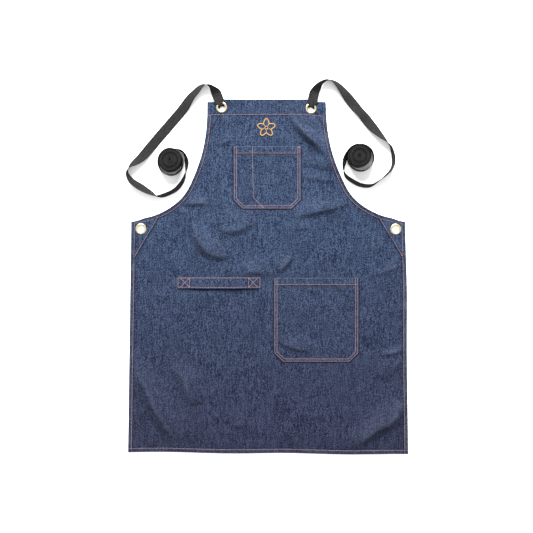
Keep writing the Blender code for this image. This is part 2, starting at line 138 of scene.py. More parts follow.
def tuck(thick, rim, reach):
    """How far each face of a sheet closes on the other near its edge, which rounds it."""
    return 0.5 * thick * (1 - np.sqrt(np.clip(rim / reach, 0, 1)))


# ---- The panel's outline ----


def half_width(y):
    down = np.clip((TOP - y) / BIB_HEIGHT, 0, 1)
    curve = WAIST_HALF - (WAIST_HALF - BIB_HALF) * (1 - down**ARMHOLE_BOW) ** ARMHOLE_ROUND
    above = y - WAIST_Y
    curve -= ARMHOLE_DIP * bell(above - DIP_ABOVE_WAIST, DIP_SPAN) * smooth(above / DIP_EASE)
    flare = blend(SKIRT_HALF, WAIST_HALF, (y + TOP) / (WAIST_Y + TOP))
    return np.where(y < WAIST_Y, flare, curve)


def middle_x(y):
    return BIB_SHIFT * np.clip((y - WAIST_Y) / BIB_HEIGHT, 0, 1)


def armhole(side, count=500):
    """The armhole's edge from the bib's corner to the waist's: even points, and lengths along it."""
    turn = np.linspace(0, np.pi / 2, 4000)
    y = TOP - BIB_HEIGHT * np.sin(turn) ** (2 / ARMHOLE_BOW)
    x = side * half_width(y) + middle_x(y)
    far = np.concatenate([[0], np.cumsum(np.hypot(np.diff(x), np.diff(y)))])
    even = np.linspace(0, far[-1], count)
    return np.stack([np.interp(even, far, x), np.interp(even, far, y)], 1), even


def nearest(x, y, line):
    """Distance from each point to a dense line of points, and the index of the nearest one."""
    flat = np.stack([x.ravel(), y.ravel()], 1)
    far = np.empty(len(flat))
    index = np.empty(len(flat), int)
    for start in range(0, len(flat), 4000):
        part = flat[start : start + 4000]
        squares = ((part[:, None, :] - line[None, :, :]) ** 2).sum(2)
        index[start : start + 4000] = squares.argmin(1)
        far[start : start + 4000] = np.sqrt(squares.min(1))
    return far.reshape(x.shape), index.reshape(x.shape)


def top_line(x):
    """The height of the top hem's stitches at x."""
    line = np.array(TOP_HEM)
    return np.interp(x, line[:, 0], line[:, 1])


def laid(x, y):
    """Where the straight-cut cloth lies: corners sit low, the hem is askew, the right side swells."""
    bib_corner = smooth((np.abs(x - middle_x(y)) - 0.108) / 0.016)
    bib_corner = bib_corner * smooth((y - TOP + 0.018) / 0.018)
    waist_corner = smooth((np.abs(x) - 0.305) / 0.035) * smooth((y - 0.130) / 0.012)
    hem = smooth((-TOP + 0.10 - y) / 0.10)
    wave = 0.0009 + 0.0012 * np.sin(x * 21 + 0.6)
    down = 0.0065 * bib_corner + 0.0055 * waist_corner - hem * (wave - 0.0032 * x / SKIRT_HALF)
    out = 0.0025 * smooth((x - 0.25) / 0.08) * bell(y + 0.035, 0.11)
    return x + out, y - down


def patch_depth(x, y, side_name):
    """How far a point lies inside a waist patch's slanting edge."""
    (x0, y0), (x1, y1) = PATCH_SLANT[side_name]
    length = math.hypot(x1 - x0, y1 - y0)
    across = ((x * SIDES[side_name] - x0) * (y0 - y1) + (y - y0) * (x1 - x0)) / length
    return across + PATCH_SEAM


# ---- The panel's relief ----

# Creases: a curve's three points, its height, and its steep and gentle sides' widths.
# The steep side is on the left when going from the first point to the last.
CREASES = (
    # bib
    ((0.165, 0.274), (0.104, 0.352), (0.052, 0.414), 0.0096, 0.0115, 0.028),
    ((0.167, 0.271), (0.125, 0.284), (0.085, 0.296), 0.0022, 0.0080, 0.016),
    ((0.170, 0.239), (0.125, 0.246), (0.087, 0.249), 0.0018, 0.0080, 0.015),
    ((0.195, 0.184), (0.135, 0.161), (0.060, 0.154), 0.0046, 0.0110, 0.026),
    ((-0.148, 0.184), (-0.180, 0.184), (-0.213, 0.179), 0.0026, 0.0060, 0.014),
    ((-0.090, 0.341), (-0.115, 0.336), (-0.140, 0.324), 0.0014, 0.0080, 0.014),
    ((-0.068, 0.149), (-0.110, 0.144), (-0.158, 0.126), 0.0018, 0.0080, 0.016),
    # waist
    ((-0.100, 0.061), (-0.152, 0.033), (-0.198, 0.139), 0.0068, 0.0130, 0.028),
    ((-0.028, 0.138), (-0.075, 0.111), (-0.130, 0.121), 0.0040, 0.0110, 0.022),
    ((-0.200, 0.159), (-0.213, 0.159), (-0.228, 0.164), 0.0016, 0.0060, 0.012),
    ((0.117, 0.129), (0.095, 0.124), (0.072, 0.119), 0.0018, 0.0070, 0.014),
    ((0.010, 0.016), (-0.028, 0.016), (-0.068, 0.011), 0.0038, 0.0120, 0.022),
    ((0.062, 0.051), (0.045, 0.030), (0.028, 0.011), 0.0034, 0.0065, 0.018),
    ((0.295, 0.089), (0.280, 0.081), (0.265, 0.071), 0.0016, 0.0070, 0.014),
    ((0.332, 0.034), (0.305, 0.019), (0.272, 0.004), 0.0018, 0.0080, 0.015),
    # skirt
    ((-0.228, -0.419), (-0.265, -0.344), (-0.330, -0.232), 0.0082, 0.0190, 0.036),
    ((-0.183, -0.322), (-0.190, -0.282), (-0.238, -0.216), 0.0064, 0.0180, 0.030),
    ((-0.053, -0.369), (-0.070, -0.366), (-0.093, -0.361), 0.0024, 0.0110, 0.018),
    ((0.335, -0.181), (0.310, -0.186), (0.280, -0.194), 0.0024, 0.0070, 0.010),
    ((0.335, -0.196), (0.312, -0.222), (0.282, -0.256), 0.0034, 0.0140, 0.026),
    ((0.337, -0.306), (0.304, -0.375), (0.207, -0.419), 0.0084, 0.0150, 0.026),
)
CREASE_SCALE = 1.35
CREASE_WANDER = 0.0045


def crease(x, y, points, rise, steep, gentle, ends=0.02, power=0.7, count=60):
    """The height that one crease adds, tapering to nothing at both ends."""
    a, b, c = [np.array(point) for point in points]
    share = np.linspace(0, 1, count)
    t = share[:, None]
    line = a * (1 - t) ** 2 + 2 * b * t * (1 - t) + c * t**2
    along = tangents(line)
    far, index = nearest(x, y, line)
    left = along[index, 0] * (y - line[index, 1]) - along[index, 1] * (x - line[index, 0])
    taper = np.sin(np.pi * np.clip(share[index], ends, 1 - ends)) ** power
    return rise * taper * np.where(left > 0, bell(far, steep), bell(far, gentle))


def crease_height(x, y):
    shift_x, shift_y = [CREASE_WANDER * noise(x, y, 0.045, seed) for seed in (91, 92)]
    height = np.zeros_like(x)
    for *points, rise, steep, gentle in CREASES:
        height += crease(x + shift_x, y + shift_y, points, CREASE_SCALE * rise, steep, gentle)
    return height


def edge_distances(x, y):
    """Distances to the side edge, with the length along it, and to the top and bottom edges."""
    side_far = half_width(y) - np.abs(x - middle_x(y))
    along = y.copy()
    near = y > WAIST_Y - 0.02
    for side in (-1, 1):
        line, lengths = armhole(side)
        pick = near & ((x - middle_x(y)) * side > 0)
        far, index = nearest(x[pick], y[pick], line)
        below = y[pick] < WAIST_Y
        side_far[pick] = np.where(below, np.minimum(side_far[pick], np.maximum(far, 0)), far)
        along[pick] = np.where(below & (far > side_far[pick] + 1e-6), y[pick], WAIST_Y + lengths[index])
    return np.maximum(side_far, 0), along, np.maximum(TOP - y, 0), np.maximum(y + TOP, 0)


def relief(x, y):
    """Height of the panel's upper face above the floor, and its thickness."""
    side_far, along, top_far, bottom_far = edge_distances(x, y)
    inner = smooth(np.minimum(np.minimum(side_far, bottom_far), top_far) / 0.05)

    below_top = top_line(x) - y
    past_stitch = np.minimum(np.minimum(side_far - SIDE_STITCH, bottom_far - BOTTOM_STITCH), below_top)
    hem = 1 - smooth(past_stitch / 0.0018)

    swell = 0.0011 * noise(x, y, 0.110, 1) + 0.0008 * noise(x * 1.2, y, 0.055, 2)
    crumple = 0.00042 * (1 - np.abs(noise(x, y * 0.8, 0.030, 3))) + 0.00022 * noise(x, y, 0.014, 4)
    crumple += 0.00010 * noise(x * 0.7, y, 0.0065, 5)
    height = CLOTH + (0.0016 + swell) * blend(0.25, 1.0, inner) + crumple * blend(0.5, 1.0, inner)
    height += crease_height(x, y) * smooth(np.minimum(side_far, bottom_far) / 0.012)

    # Roping: the turned hem twists into short slanting ridges between the fold and the stitch line
    twist = np.sin(2 * np.pi * along / 0.0078 + 260 * side_far + 2.2 * noise(along, side_far, 0.03, 6))
    rope = bell(side_far - 0.0048, 0.0034) * blend(0.35, 1.0, smooth((y - WAIST_Y) / 0.05))
    height += 0.00030 * twist * rope
    twist = np.sin(2 * np.pi * x / 0.0085 + 240 * bottom_far + 2.5 * noise(x, y, 0.03, 7))
    height += 0.00022 * twist * bell(bottom_far - 0.005, 0.0038)

    # The stitch lines draw the cloth in, with short puckers on the cloth side
    height -= 0.00042 * bell(side_far - SIDE_STITCH, 0.0011)
    height -= 0.00040 * bell(below_top, 0.0011)
    height -= 0.00040 * bell(bottom_far - BOTTOM_STITCH, 0.0011)
    pucker = np.sin(2 * np.pi * along / 0.0105 + 2.8 * noise(along, side_far * 0.2, 0.03, 8))
    height += 0.00020 * pucker * bell(side_far - SIDE_STITCH - 0.004, 0.0045)
    pucker = np.sin(2 * np.pi * x / 0.012 + 3.0 * noise(x, y * 0.2, 0.04, 9))
    height += 0.00020 * pucker * bell(below_top - 0.004, 0.0055)

    height += FOLD * hem
    for eye in BIB_EYES.values():
        away = np.hypot(x - eye.x, y - eye.y)
        height = blend(height, 0.0045, 1 - smooth((away - 0.034) / 0.026))
    for eye in WAIST_EYES.values():
        away = np.hypot(x - eye.x, y - eye.y)
        height = blend(height, 0.0026, 1 - smooth((away - 0.014) / 0.022))
    thickness = CLOTH + FOLD * hem
    return np.maximum(height, thickness + ABOVE_FLOOR), thickness


def panel_top(x, y):
    return relief(x, y)[0]


def surface(x, y):
    """The panel's upper face, or the waist patch's where one covers it."""
    height = panel_top(x, y)
    for side_name in SIDES:
        height = height + (CLOTH + CLEAR) * smooth(patch_depth(x, y, side_name) / 0.001)
    return height


# ---- Mesh builders ----


def add_mesh(name, points, faces, coat):
    mesh = bpy.data.meshes.new(name)
    mesh.from_pydata(np.asarray(points).tolist(), [], [list(f) for f in faces])
    mesh.validate()
    mesh.update()
    mesh.shade_smooth()
    made = bpy.data.objects.new(name, mesh)
    bpy.context.scene.collection.objects.link(made)
    mesh.materials.append(coat)
    return made


def store(obj, name, values):
    """Keeps one number for each vertex, for the material to read."""
    layer = obj.data.attributes.new(name, "FLOAT", "POINT")
    layer.data.foreach_set("value", np.asarray(values, np.float32).ravel())


def place(made, body, slot, *nodes):
    """Attaches the piece to the body it rides on and hides the CAD nodes it stands for; slot is not used."""
    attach(made, body)
    if nodes:
        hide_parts(*nodes)


def shell(name, upper, lower, coat, keep=None):
    """A closed sheet from two grids of points, with a wall round every edge of the kept cells."""
    rows, columns = upper.shape[:2]
    if keep is None:
        keep = np.ones((rows - 1, columns - 1), bool)
    number = np.arange(rows * columns).reshape(rows, columns)
    down = rows * columns
    a, b, c, d = number[:-1, :-1], number[:-1, 1:], number[1:, 1:], number[1:, :-1]
    top = np.stack([a, b, c, d], -1)[keep]
    bottom = np.stack([a, d, c, b], -1)[keep] + down
    padded = np.pad(keep, 1)
    walls = []
    for here, there, open_side in (
        (a, b, padded[:-2, 1:-1]),
        (b, c, padded[1:-1, 2:]),
        (c, d, padded[2:, 1:-1]),
        (d, a, padded[1:-1, :-2]),
    ):
        pick = keep & ~open_side
        start, end = there[pick], here[pick]
        walls.append(np.stack([start, end, end + down, start + down], -1))
    faces = np.concatenate([top, bottom, *walls])
    points = np.concatenate([upper.reshape(-1, 3), lower.reshape(-1, 3)])
    used = np.unique(faces)
    renumber = np.zeros(len(points), int)
    renumber[used] = np.arange(len(used))
    made = add_mesh(name, points[used], renumber[faces].tolist(), coat)
    return made, used


def spread_edges(count, fine):
    """Numbers from 0 to 1, evenly spaced, with a few more close to both ends."""
    return np.unique(np.concatenate([np.linspace(0, 1, count), fine, 1 - np.asarray(fine)]))


def lathe(name, profile, centre, coat, steps=72):
    """A ring turned about the vertical through centre, from a closed outline of (radius, height)."""
    profile = np.asarray(profile, float)
    turn = np.linspace(0, 2 * np.pi, steps, endpoint=False)
    radius, height = profile[:, 0], profile[:, 1]
    points = np.stack(
        [
            centre.x + np.outer(np.cos(turn), radius),
            centre.y + np.outer(np.sin(turn), radius),
            np.broadcast_to(height, (steps, len(profile))),
        ],
        -1,
    )
    count = len(profile)
    faces = []
    for i in range(steps):
        for j in range(count):
            a, b = i * count + j, i * count + (j + 1) % count
            c, d = (i + 1) % steps * count + (j + 1) % count, (i + 1) % steps * count + j
            faces.append((a, b, c, d))
    return add_mesh(name, points.reshape(-1, 3), faces, coat)


def resample(path, pitch):
    """Even steps along a path of points, and how far each lies along it."""
    path = np.asarray(path, float)
    far = np.concatenate([[0], np.cumsum(np.linalg.norm(np.diff(path, axis=0), axis=1))])
    count = max(2, int(round(far[-1] / pitch)) + 1)
    even = np.linspace(0, far[-1], count)
    return np.stack([np.interp(even, far, path[:, k]) for k in range(path.shape[1])], 1), even


def tubes(name, centres, across, radii, coat):
    """Short threads in one mesh, from centres (threads, rings, 3) and a sideways unit vector for each."""
    corners = 6
    count, rings = centres.shape[:2]
    along = np.gradient(centres, axis=1)
    up = np.cross(along, across)
    up /= np.maximum(np.linalg.norm(up, axis=2), 1e-12)[..., None]
    turn = np.linspace(0, 2 * np.pi, corners, endpoint=False)[:, None]
    circle = np.cos(turn) * across[:, :, None, :] + np.sin(turn) * up[:, :, None, :]
    points = centres[:, :, None, :] + circle * np.asarray(radii)[:, None, None]
    one = []
    for i in range(rings - 1):
        for j in range(corners):
            k = (j + 1) % corners
            one.append((i * corners + j, i * corners + k, (i + 1) * corners + k, (i + 1) * corners + j))
    caps = [range(corners - 1, -1, -1), range((rings - 1) * corners, rings * corners)]
    starts = np.arange(count)[:, None, None] * rings * corners
    faces = (np.array(one)[None] + starts).reshape(-1, 4).tolist()
    faces += (np.array([list(cap) for cap in caps])[None] + starts).reshape(-1, corners).tolist()
    return add_mesh(name, points.reshape(-1, 3), faces, coat)


# A stitch's heights and relative radii from one end to the other: both ends dip into the cloth
STITCH_ARCH = np.array([-0.00050, 0.00012, 0.00028, 0.00012, -0.00050])
STITCH_TAPER = np.array([0.55, 0.95, 1.0, 0.95, 0.55])
STITCH_GAP = 0.10


def stitches(name, paths, height_of, replaced, radius=THREAD):
    """Rows of separate stitches as one piece."""
    centres, across = [], []
    share = np.linspace(0, 1, len(STITCH_ARCH))[None, :, None]
    for path in paths:
        points, _ = resample(path, STITCH_PITCH)
        step = np.diff(points[:, :2], axis=0)
        start, end = points[:-1, :2] + step * STITCH_GAP, points[1:, :2] - step * STITCH_GAP
        flat = start[:, None, :] * (1 - share) + end[:, None, :] * share
        sideways = unit(np.stack([-step[:, 1], step[:, 0], 0 * step[:, 0]], 1))
        sideways = np.repeat(sideways[:, None, :], len(STITCH_ARCH), 1)
        wobble = 0.00012 * noise(flat[..., 0], flat[..., 1], 0.0031, 21)
        flat = flat + sideways[..., :2] * wobble[..., None]
        z = height_of(flat[..., 0], flat[..., 1]) + STITCH_ARCH
        x, y = laid(flat[..., 0], flat[..., 1])
        centres.append(np.stack([x, y, z], -1))
        across.append(sideways)
    radii = radius * STITCH_TAPER
    made = tubes(name, np.concatenate(centres), np.concatenate(across), radii, MATERIALS["thread"])
    place(made, "root", "thread", replaced)


SATIN_ARCH = np.array([0.0, 0.62, 0.92, 1.0, 0.92, 0.62, 0.0])


def satin(name, bands, height_of, rise, radius, coat):
    """Close threads laid side by side across bands: each is a path, its width and the threads' spacing."""
    count = len(SATIN_ARCH)
    share = np.linspace(-0.5, 0.5, count)[None, :, None]
    centres, across = [], []
    for path, width, pitch in bands:
        points, far = resample(path, pitch)
        along = tangents(points[:, :2])
        out = np.stack([-along[:, 1], along[:, 0]], 1) + along * 0.25
        number = np.arange(len(points))
        ragged = width * (1 + 0.07 * hashed(number, number, 5))[:, None, None]
        flat = points[:, None, :2] + out[:, None, :] * share * ragged
        z = height_of(flat[..., 0], flat[..., 1]) + rise * SATIN_ARCH - radius * 0.6
        centres.append(np.concatenate([flat, z[..., None]], 2))
        across.append(np.repeat(np.stack([along[:, 0], along[:, 1], 0 * far], 1)[:, None, :], count, 1))
    return tubes(name, np.concatenate(centres), np.concatenate(across), np.full(count, radius), coat)


# ---- Materials ----


def new_material(name, colour, roughness, metallic=0.0):
    made = bpy.data.materials.new(name)
    made.use_nodes = True
    shader = made.node_tree.nodes["Principled BSDF"]
    shader.inputs["Base Color"].default_value = (*colour, 1)
    shader.inputs["Roughness"].default_value = roughness
    shader.inputs["Metallic"].default_value = metallic
    return made, made.node_tree, shader


def node(tree, kind, values=None, **settings):
    made = tree.nodes.new(kind)
    for key, value in settings.items():
        setattr(made, key, value)
    for key, value in (values or {}).items():
        made.inputs[key].default_value = value
    return made


def feed(tree, socket, value):
    """Sets a socket to a number or a colour, or links another node's output to it."""
    if isinstance(value, (int, float)):
        socket.default_value = value
    elif isinstance(value, tuple):
        socket.default_value = (*value, 1)
    else:
        tree.links.new(value, socket)


def maths(tree, operation, *values):
    made = node(tree, "ShaderNodeMath", operation=operation)
    for socket, value in zip(made.inputs, values):
        feed(tree, socket, value)
    return made.outputs[0]


def weighted(tree, *terms):
    """The sum of outputs, each times its own number."""
    total, *others = [maths(tree, "MULTIPLY", value, share) for value, share in terms]
    for other in others:
        total = maths(tree, "ADD", total, other)
    return total


def mixed(tree, factor, first, second, mode="MIX"):
    made = node(tree, "ShaderNodeMix", data_type="RGBA", blend_type=mode)
    for key, value in (("Factor", factor), ("A", first), ("B", second)):
        feed(tree, [s for s in made.inputs if s.name == key and s.enabled][0], value)
    return [s for s in made.outputs if s.enabled][0]


def ramp(tree, value, low, high):
    """0 at low and below, 1 at high and above."""
    made = node(tree, "ShaderNodeMapRange", {"From Min": low, "From Max": high}, clamp=True)
    feed(tree, made.inputs["Value"], value)
    return made.outputs["Result"]


def coordinates(tree):
    return node(tree, "ShaderNodeTexCoord").outputs["Object"]


def grain(tree, coords, scale, detail=3.0, stretch=(1, 1, 1)):
    mapping = node(tree, "ShaderNodeMapping", {"Scale": stretch})
    feed(tree, mapping.inputs["Vector"], coords)
    made = node(tree, "ShaderNodeTexNoise", {"Scale": scale, "Detail": detail, "Roughness": 0.6})
    feed(tree, made.inputs["Vector"], mapping.outputs["Vector"])
    return made.outputs["Fac"]


def attribute(tree, name):
    return node(tree, "ShaderNodeAttribute", attribute_name=name).outputs["Fac"]


def bumped(tree, shader, height, strength, distance):
    made = node(tree, "ShaderNodeBump", {"Strength": strength, "Distance": distance})
    feed(tree, made.inputs["Height"], height)
    feed(tree, shader.inputs["Normal"], made.outputs["Normal"])


def roughened(tree, shader, value, low, high):
    made = node(tree, "ShaderNodeMapRange", {"To Min": low, "To Max": high})
    feed(tree, made.inputs["Value"], value)
    feed(tree, shader.inputs["Roughness"], made.outputs["Result"])


def denim():
    made, tree, shader = new_material("denim", (0.035, 0.045, 0.085), 0.92)
    coords = coordinates(tree)
    parts = node(tree, "ShaderNodeSeparateXYZ")
    feed(tree, parts.inputs["Vector"], coords)
    x, y = parts.outputs["X"], parts.outputs["Y"]

    # Twill: slanting ribs of warp, broken by the yarns' own unevenness
    slant = weighted(tree, (x, 4200.0), (y, 3400.0), (grain(tree, coords, 900.0), 5.0))
    yarns = maths(tree, "SINE", maths(tree, "MULTIPLY", x, 9800.0))
    weave = weighted(tree, (maths(tree, "SINE", slant), 0.35), (yarns, 0.15))
    weave = maths(tree, "ADD", weave, 0.5)

    speckle = ramp(tree, grain(tree, coords, 520.0, 1.5, (1.15, 0.70, 1)), 0.36, 0.66)
    slub = ramp(tree, grain(tree, coords, 220.0, 3.0, (2.0, 0.20, 1)), 0.36, 0.66)
    cross = ramp(tree, grain(tree, coords, 220.0, 2.0, (0.25, 2.0, 1)), 0.38, 0.68)
    cloud = ramp(tree, grain(tree, coords, 16.0), 0.30, 0.70)
    wash = ramp(tree, grain(tree, coords, 55.0), 0.32, 0.70)
    tone = weighted(
        tree, (speckle, 0.57), (slub, 0.27), (cross, 0.06), (weave, 0.08), (wash, 0.07), (cloud, 0.07)
    )
    colour = mixed(tree, ramp(tree, tone, 0.42, 0.70), (0.0042, 0.0070, 0.0205), (0.0355, 0.0550, 0.0970))
    # Painted shade: the skirt is painted a shade redder and darker than the bib, standing in for the light
    # falling off toward the bottom
    painted_skirt_shade = mixed(tree, 1.0, colour, (0.86, 0.65, 0.68), "MULTIPLY")
    colour = mixed(tree, ramp(tree, y, -0.38, 0.12), painted_skirt_shade, colour)
    # Paler where the cloth is worn on ridges, edges and roped hems, plus a painted highlight on crease sides
    # facing the key light
    worn = maths(tree, "ADD", maths(tree, "MULTIPLY", speckle, 0.6), 0.4)
    worn = maths(tree, "MULTIPLY", attribute(tree, "wear_and_highlight"), worn)
    colour = mixed(tree, worn, colour, (0.062, 0.074, 0.112))
    # Painted shade: the stored shade value darkens the cloth to near-black blue in hollows, grooves, contact
    # shadows and on crease sides turned from the key light
    colour = mixed(tree, attribute(tree, "deep"), colour, (0.0040, 0.0045, 0.0105))
    feed(tree, shader.inputs["Base Color"], colour)
    bumped(tree, shader, weighted(tree, (weave, 1.0), (speckle, 0.9)), 0.55, 0.00028)
    roughened(tree, shader, speckle, 0.80, 0.97)
    shader.inputs["Sheen Weight"].default_value = 0.03
    shader.inputs["Sheen Roughness"].default_value = 0.6
    shader.inputs["Sheen Tint"].default_value = (0.55, 0.62, 0.80, 1)
    shader.inputs["Specular IOR Level"].default_value = 0.06
    return made


def thread_material(name, colour, other):
    made, tree, shader = new_material(name, colour, 0.62)
    coords = coordinates(tree)
    mottle = ramp(tree, grain(tree, coords, 260.0, 2.0), 0.30, 0.70)
    feed(tree, shader.inputs["Base Color"], mixed(tree, mottle, colour, other))
    bumped(tree, shader, grain(tree, coords, 3800.0, 1.0, (1, 1, 0.4)), 0.4, 0.0001)
    shader.inputs["Sheen Weight"].default_value = 0.2
    return made


def webbing_material():
    """Charcoal cotton webbing: a herringbone twill between two plain woven selvedges."""
    made, tree, shader = new_material("webbing", (0.035, 0.035, 0.036), 0.88)
    coords = coordinates(tree)
    along, across = attribute(tree, "along"), attribute(tree, "across")
    side = maths(tree, "FRACT", maths(tree, "MULTIPLY", across, 2.0))
    side = maths(tree, "ABSOLUTE", maths(tree, "SUBTRACT", side, 0.5))
    ribs = ramp(tree, maths(tree, "SINE", weighted(tree, (along, 3700.0), (side, 60.0))), -0.8, 0.8)
    picks = ramp(tree, maths(tree, "SINE", maths(tree, "MULTIPLY", along, 5200.0)), -1.0, 1.0)
    edge = maths(tree, "ABSOLUTE", maths(tree, "SUBTRACT", across, 0.5))
    pattern = mixed(tree, ramp(tree, edge, 0.425, 0.455), ribs, picks)
    fuzz = ramp(tree, grain(tree, coords, 900.0), 0.32, 0.68)
    worn = ramp(tree, grain(tree, coords, 120.0), 0.35, 0.75)
    mottle = ramp(tree, grain(tree, coords, 420.0, 1.0), 0.34, 0.66)
    tone = weighted(tree, (pattern, 0.50), (fuzz, 0.35), (worn, 0.25), (mottle, 0.50))
    tone = maths(tree, "SUBTRACT", tone, 0.25)
    colour = mixed(tree, tone, (0.006, 0.006, 0.0062), (0.0290, 0.0285, 0.0285))
    # On edge in the roll, each turn of the webbing shows its selvedge, one paler than the next
    turns = node(tree, "ShaderNodeTexNoise", {"Scale": 3.2, "Detail": 0.5}, noise_dimensions="1D")
    feed(tree, turns.inputs["W"], along)
    paler = ramp(tree, turns.outputs["Fac"], 0.40, 0.58)
    ringed = mixed(tree, paler, (0.0100, 0.0100, 0.0102), (0.0340, 0.0338, 0.0338))
    rim_colour = mixed(tree, attribute(tree, "rolled"), (0.009, 0.009, 0.009), ringed)
    colour = mixed(tree, ramp(tree, edge, 0.485, 0.497), colour, rim_colour)
    feed(tree, shader.inputs["Base Color"], colour)
    bumped(tree, shader, weighted(tree, (pattern, 1.0), (fuzz, 0.4)), 0.7, 0.0004)
    shader.inputs["Specular IOR Level"].default_value = 0.05
    return made


def brass_material():
    made, tree, shader = new_material("pale_brass", (0.55, 0.48, 0.32), 0.26, 1.0)
    coords = coordinates(tree)
    stain = ramp(tree, grain(tree, coords, 420.0), 0.35, 0.72)
    feed(tree, shader.inputs["Base Color"], mixed(tree, stain, (0.62, 0.56, 0.38), (0.42, 0.33, 0.18)))
    roughened(tree, shader, grain(tree, coords, 900.0, 4.0), 0.18, 0.42)
    bumped(tree, shader, grain(tree, coords, 1600.0, 2.0), 0.15, 0.0001)
    return made


def floor_material():
    made, _, shader = new_material("pale_floor", (0.97, 0.97, 0.97), 0.9)
    shader.inputs["Specular IOR Level"].default_value = 0.0
    return made


MATERIALS = {
    "denim": denim(),
    "thread": thread_material("thread", (0.34, 0.180, 0.175), (0.26, 0.145, 0.145)),
    "tack": thread_material("tack_thread", (0.33, 0.100, 0.065), (0.26, 0.09, 0.07)),
    "flower": thread_material("flower_thread", (0.40, 0.225, 0.036), (0.32, 0.17, 0.030)),
    "black_thread": thread_material("black_thread", (0.022, 0.022, 0.023), (0.014, 0.014, 0.014)),
    "webbing": webbing_material(),
    "brass": brass_material(),
    "floor": floor_material(),
}


# ---- Cloth pieces ----


def declare_cloth(piece):
    place(piece, "root", "denim", piece.name.replace("_cloth", ""))


def wear_highlight_and_shade(obj, used, wear_and_highlight, deep):
    """Stores each point's wear and painted highlight, and its painted shade: a shell's lower grid takes the
    upper's values.
    """
    for name, values in (("wear_and_highlight", wear_and_highlight), ("deep", deep)):
        store(obj, name, np.tile(np.clip(values, 0, 1).ravel(), 2)[used])


def curvature(height, size):
    """How much each point of a height grid stands above its neighbours."""
    soft = height.copy()
    for _ in range(size):
        soft[1:-1, 1:-1] = (soft[:-2, 1:-1] + soft[2:, 1:-1] + soft[1:-1, :-2] + soft[1:-1, 2:]) / 4
    return height - soft


def inside_pocket(name, x, y):
    """How far a point lies inside a pocket's outline with its cut lower corners, less than 0 outside it."""
    low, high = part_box(name)
    slant = (np.minimum(x - low.x, high.x - x) + (y - low.y) - POCKET_CORNER) / math.sqrt(2)
    return np.minimum(np.minimum(np.minimum(x - low.x, high.x - x), y - low.y), slant)


def contact_shadow(x, y):
    """Painted shadow: a dark line painted on the cloth just outside each pocket, patch and the towel loop."""
    dark = np.zeros_like(x)
    for name in ("bib_pocket", "hip_pocket"):
        below_mouth = smooth((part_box(name)[1].y - y) / 0.004)
        dark += 0.85 * below_mouth * bell(inside_pocket(name, x, y) + 0.0016, 0.0017)
    for side_name in SIDES:
        dark += 0.75 * bell(patch_depth(x, y, side_name) + 0.0016, 0.0016)
    low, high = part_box("towel_loop")
    along = smooth((x - low.x) / 0.012) * smooth((high.x - x) / 0.012)
    return dark + 0.95 * along * bell(y - low.y + 0.0022, 0.0024)


def cut_holes(x, y, eyes):
    """Pushes a grid's points out of the eyelets' holes, and says which of its cells are kept."""
    keep = np.ones((x.shape[0] - 1, x.shape[1] - 1), bool)
    for eye in eyes:
        away = np.hypot(x - eye.x, y - eye.y)
        inside = away < HOLE
        keep &= ~(inside[:-1, :-1] | inside[1:, :-1] | inside[:-1, 1:] | inside[1:, 1:])
        out = np.where(away < HOLE_REACH, np.maximum(away, HOLE), away) / np.maximum(away, 1e-6)
        x, y = eye.x + (x - eye.x) * out, eye.y + (y - eye.y) * out
    return x, y, keep


def apron_panel():
    rows = np.linspace(-TOP, TOP, 372)
    turn = np.linspace(0, np.pi / 2, 110)
    close = TOP - BIB_HEIGHT * np.sin(turn) ** (2 / ARMHOLE_BOW)
    close = close[close < WAIST_Y + 0.03]
    edges = np.array([0.0003, 0.0010, 0.0022])
    rows = np.unique(np.round(np.concatenate([rows, close, -TOP + edges, TOP - edges]), 5))
    rows = rows[np.concatenate([[True], np.diff(rows) > 0.0002])]
    share = spread_edges(290, [0.0004, 0.0014, 0.0030])
    u, cut_y = np.meshgrid(2 * share - 1, rows)
    cut_x = middle_x(cut_y) + u * half_width(cut_y)
    x, y, keep = cut_holes(cut_x, cut_y, [*BIB_EYES.values(), *WAIST_EYES.values()])
    z, thick = relief(x, y)
    side_far, _, top_far, bottom_far = edge_distances(cut_x, cut_y)
    rim = np.minimum(np.minimum(side_far, top_far), bottom_far)
    drawn = tuck(thick, rim, 0.0011)
    x, y = laid(x, y)
    upper = np.stack([x, y, z - drawn], -1)
    lower = np.stack([x, y, np.maximum(z - thick, ABOVE_FLOOR) + drawn], -1)
    made, used = shell("apron_panel_cloth", upper, lower, MATERIALS["denim"], keep)

    bump = curvature(z, 6) / 0.0005
    wear_and_highlight = 0.55 * np.clip(bump - 0.25, 0, 1) + 0.30 * bell(rim, 0.0016)
    patchy = smooth(0.5 + 0.5 * np.sin(4 * noise(cut_x, cut_y, 0.006, 31)))
    wear_and_highlight += 0.25 * bell(side_far - 0.0048, 0.003) * patchy
    # Painted light on the creases: the side facing the key light is painted paler, a painted highlight, and
    # the side turned away is painted darker, a painted shade
    slope = np.gradient(crease_height(cut_x, cut_y), rows, axis=0)
    wear_and_highlight += 0.75 * np.clip(-slope, 0, 0.5)
    # Painted shade also darkens the hollows between ridges
    deep = 0.45 * np.clip(-bump - 0.2, 0, 1) + 0.75 * np.clip(slope, 0, 0.6)
    # Painted shade in the groove just inside the side and armhole stitching
    deep += 0.45 * bell(side_far - SIDE_STITCH - 0.0012, 0.0012)
    # Painted shade along the rolled armhole edge, from a little above the waist up the armhole
    rolled = 1 - smooth((side_far - 0.0062) / 0.002)
    deep += 0.40 * rolled * smooth((cut_y - 0.140) / 0.02) * smooth((0.300 - cut_y) / 0.06)
    # The band above the top hem's stitches is a little darker
    deep += 0.09 * smooth((cut_y - top_line(cut_x)) / 0.002)
    wear_highlight_and_shade(made, used, wear_and_highlight, deep + contact_shadow(cut_x, cut_y))
    declare_cloth(made)


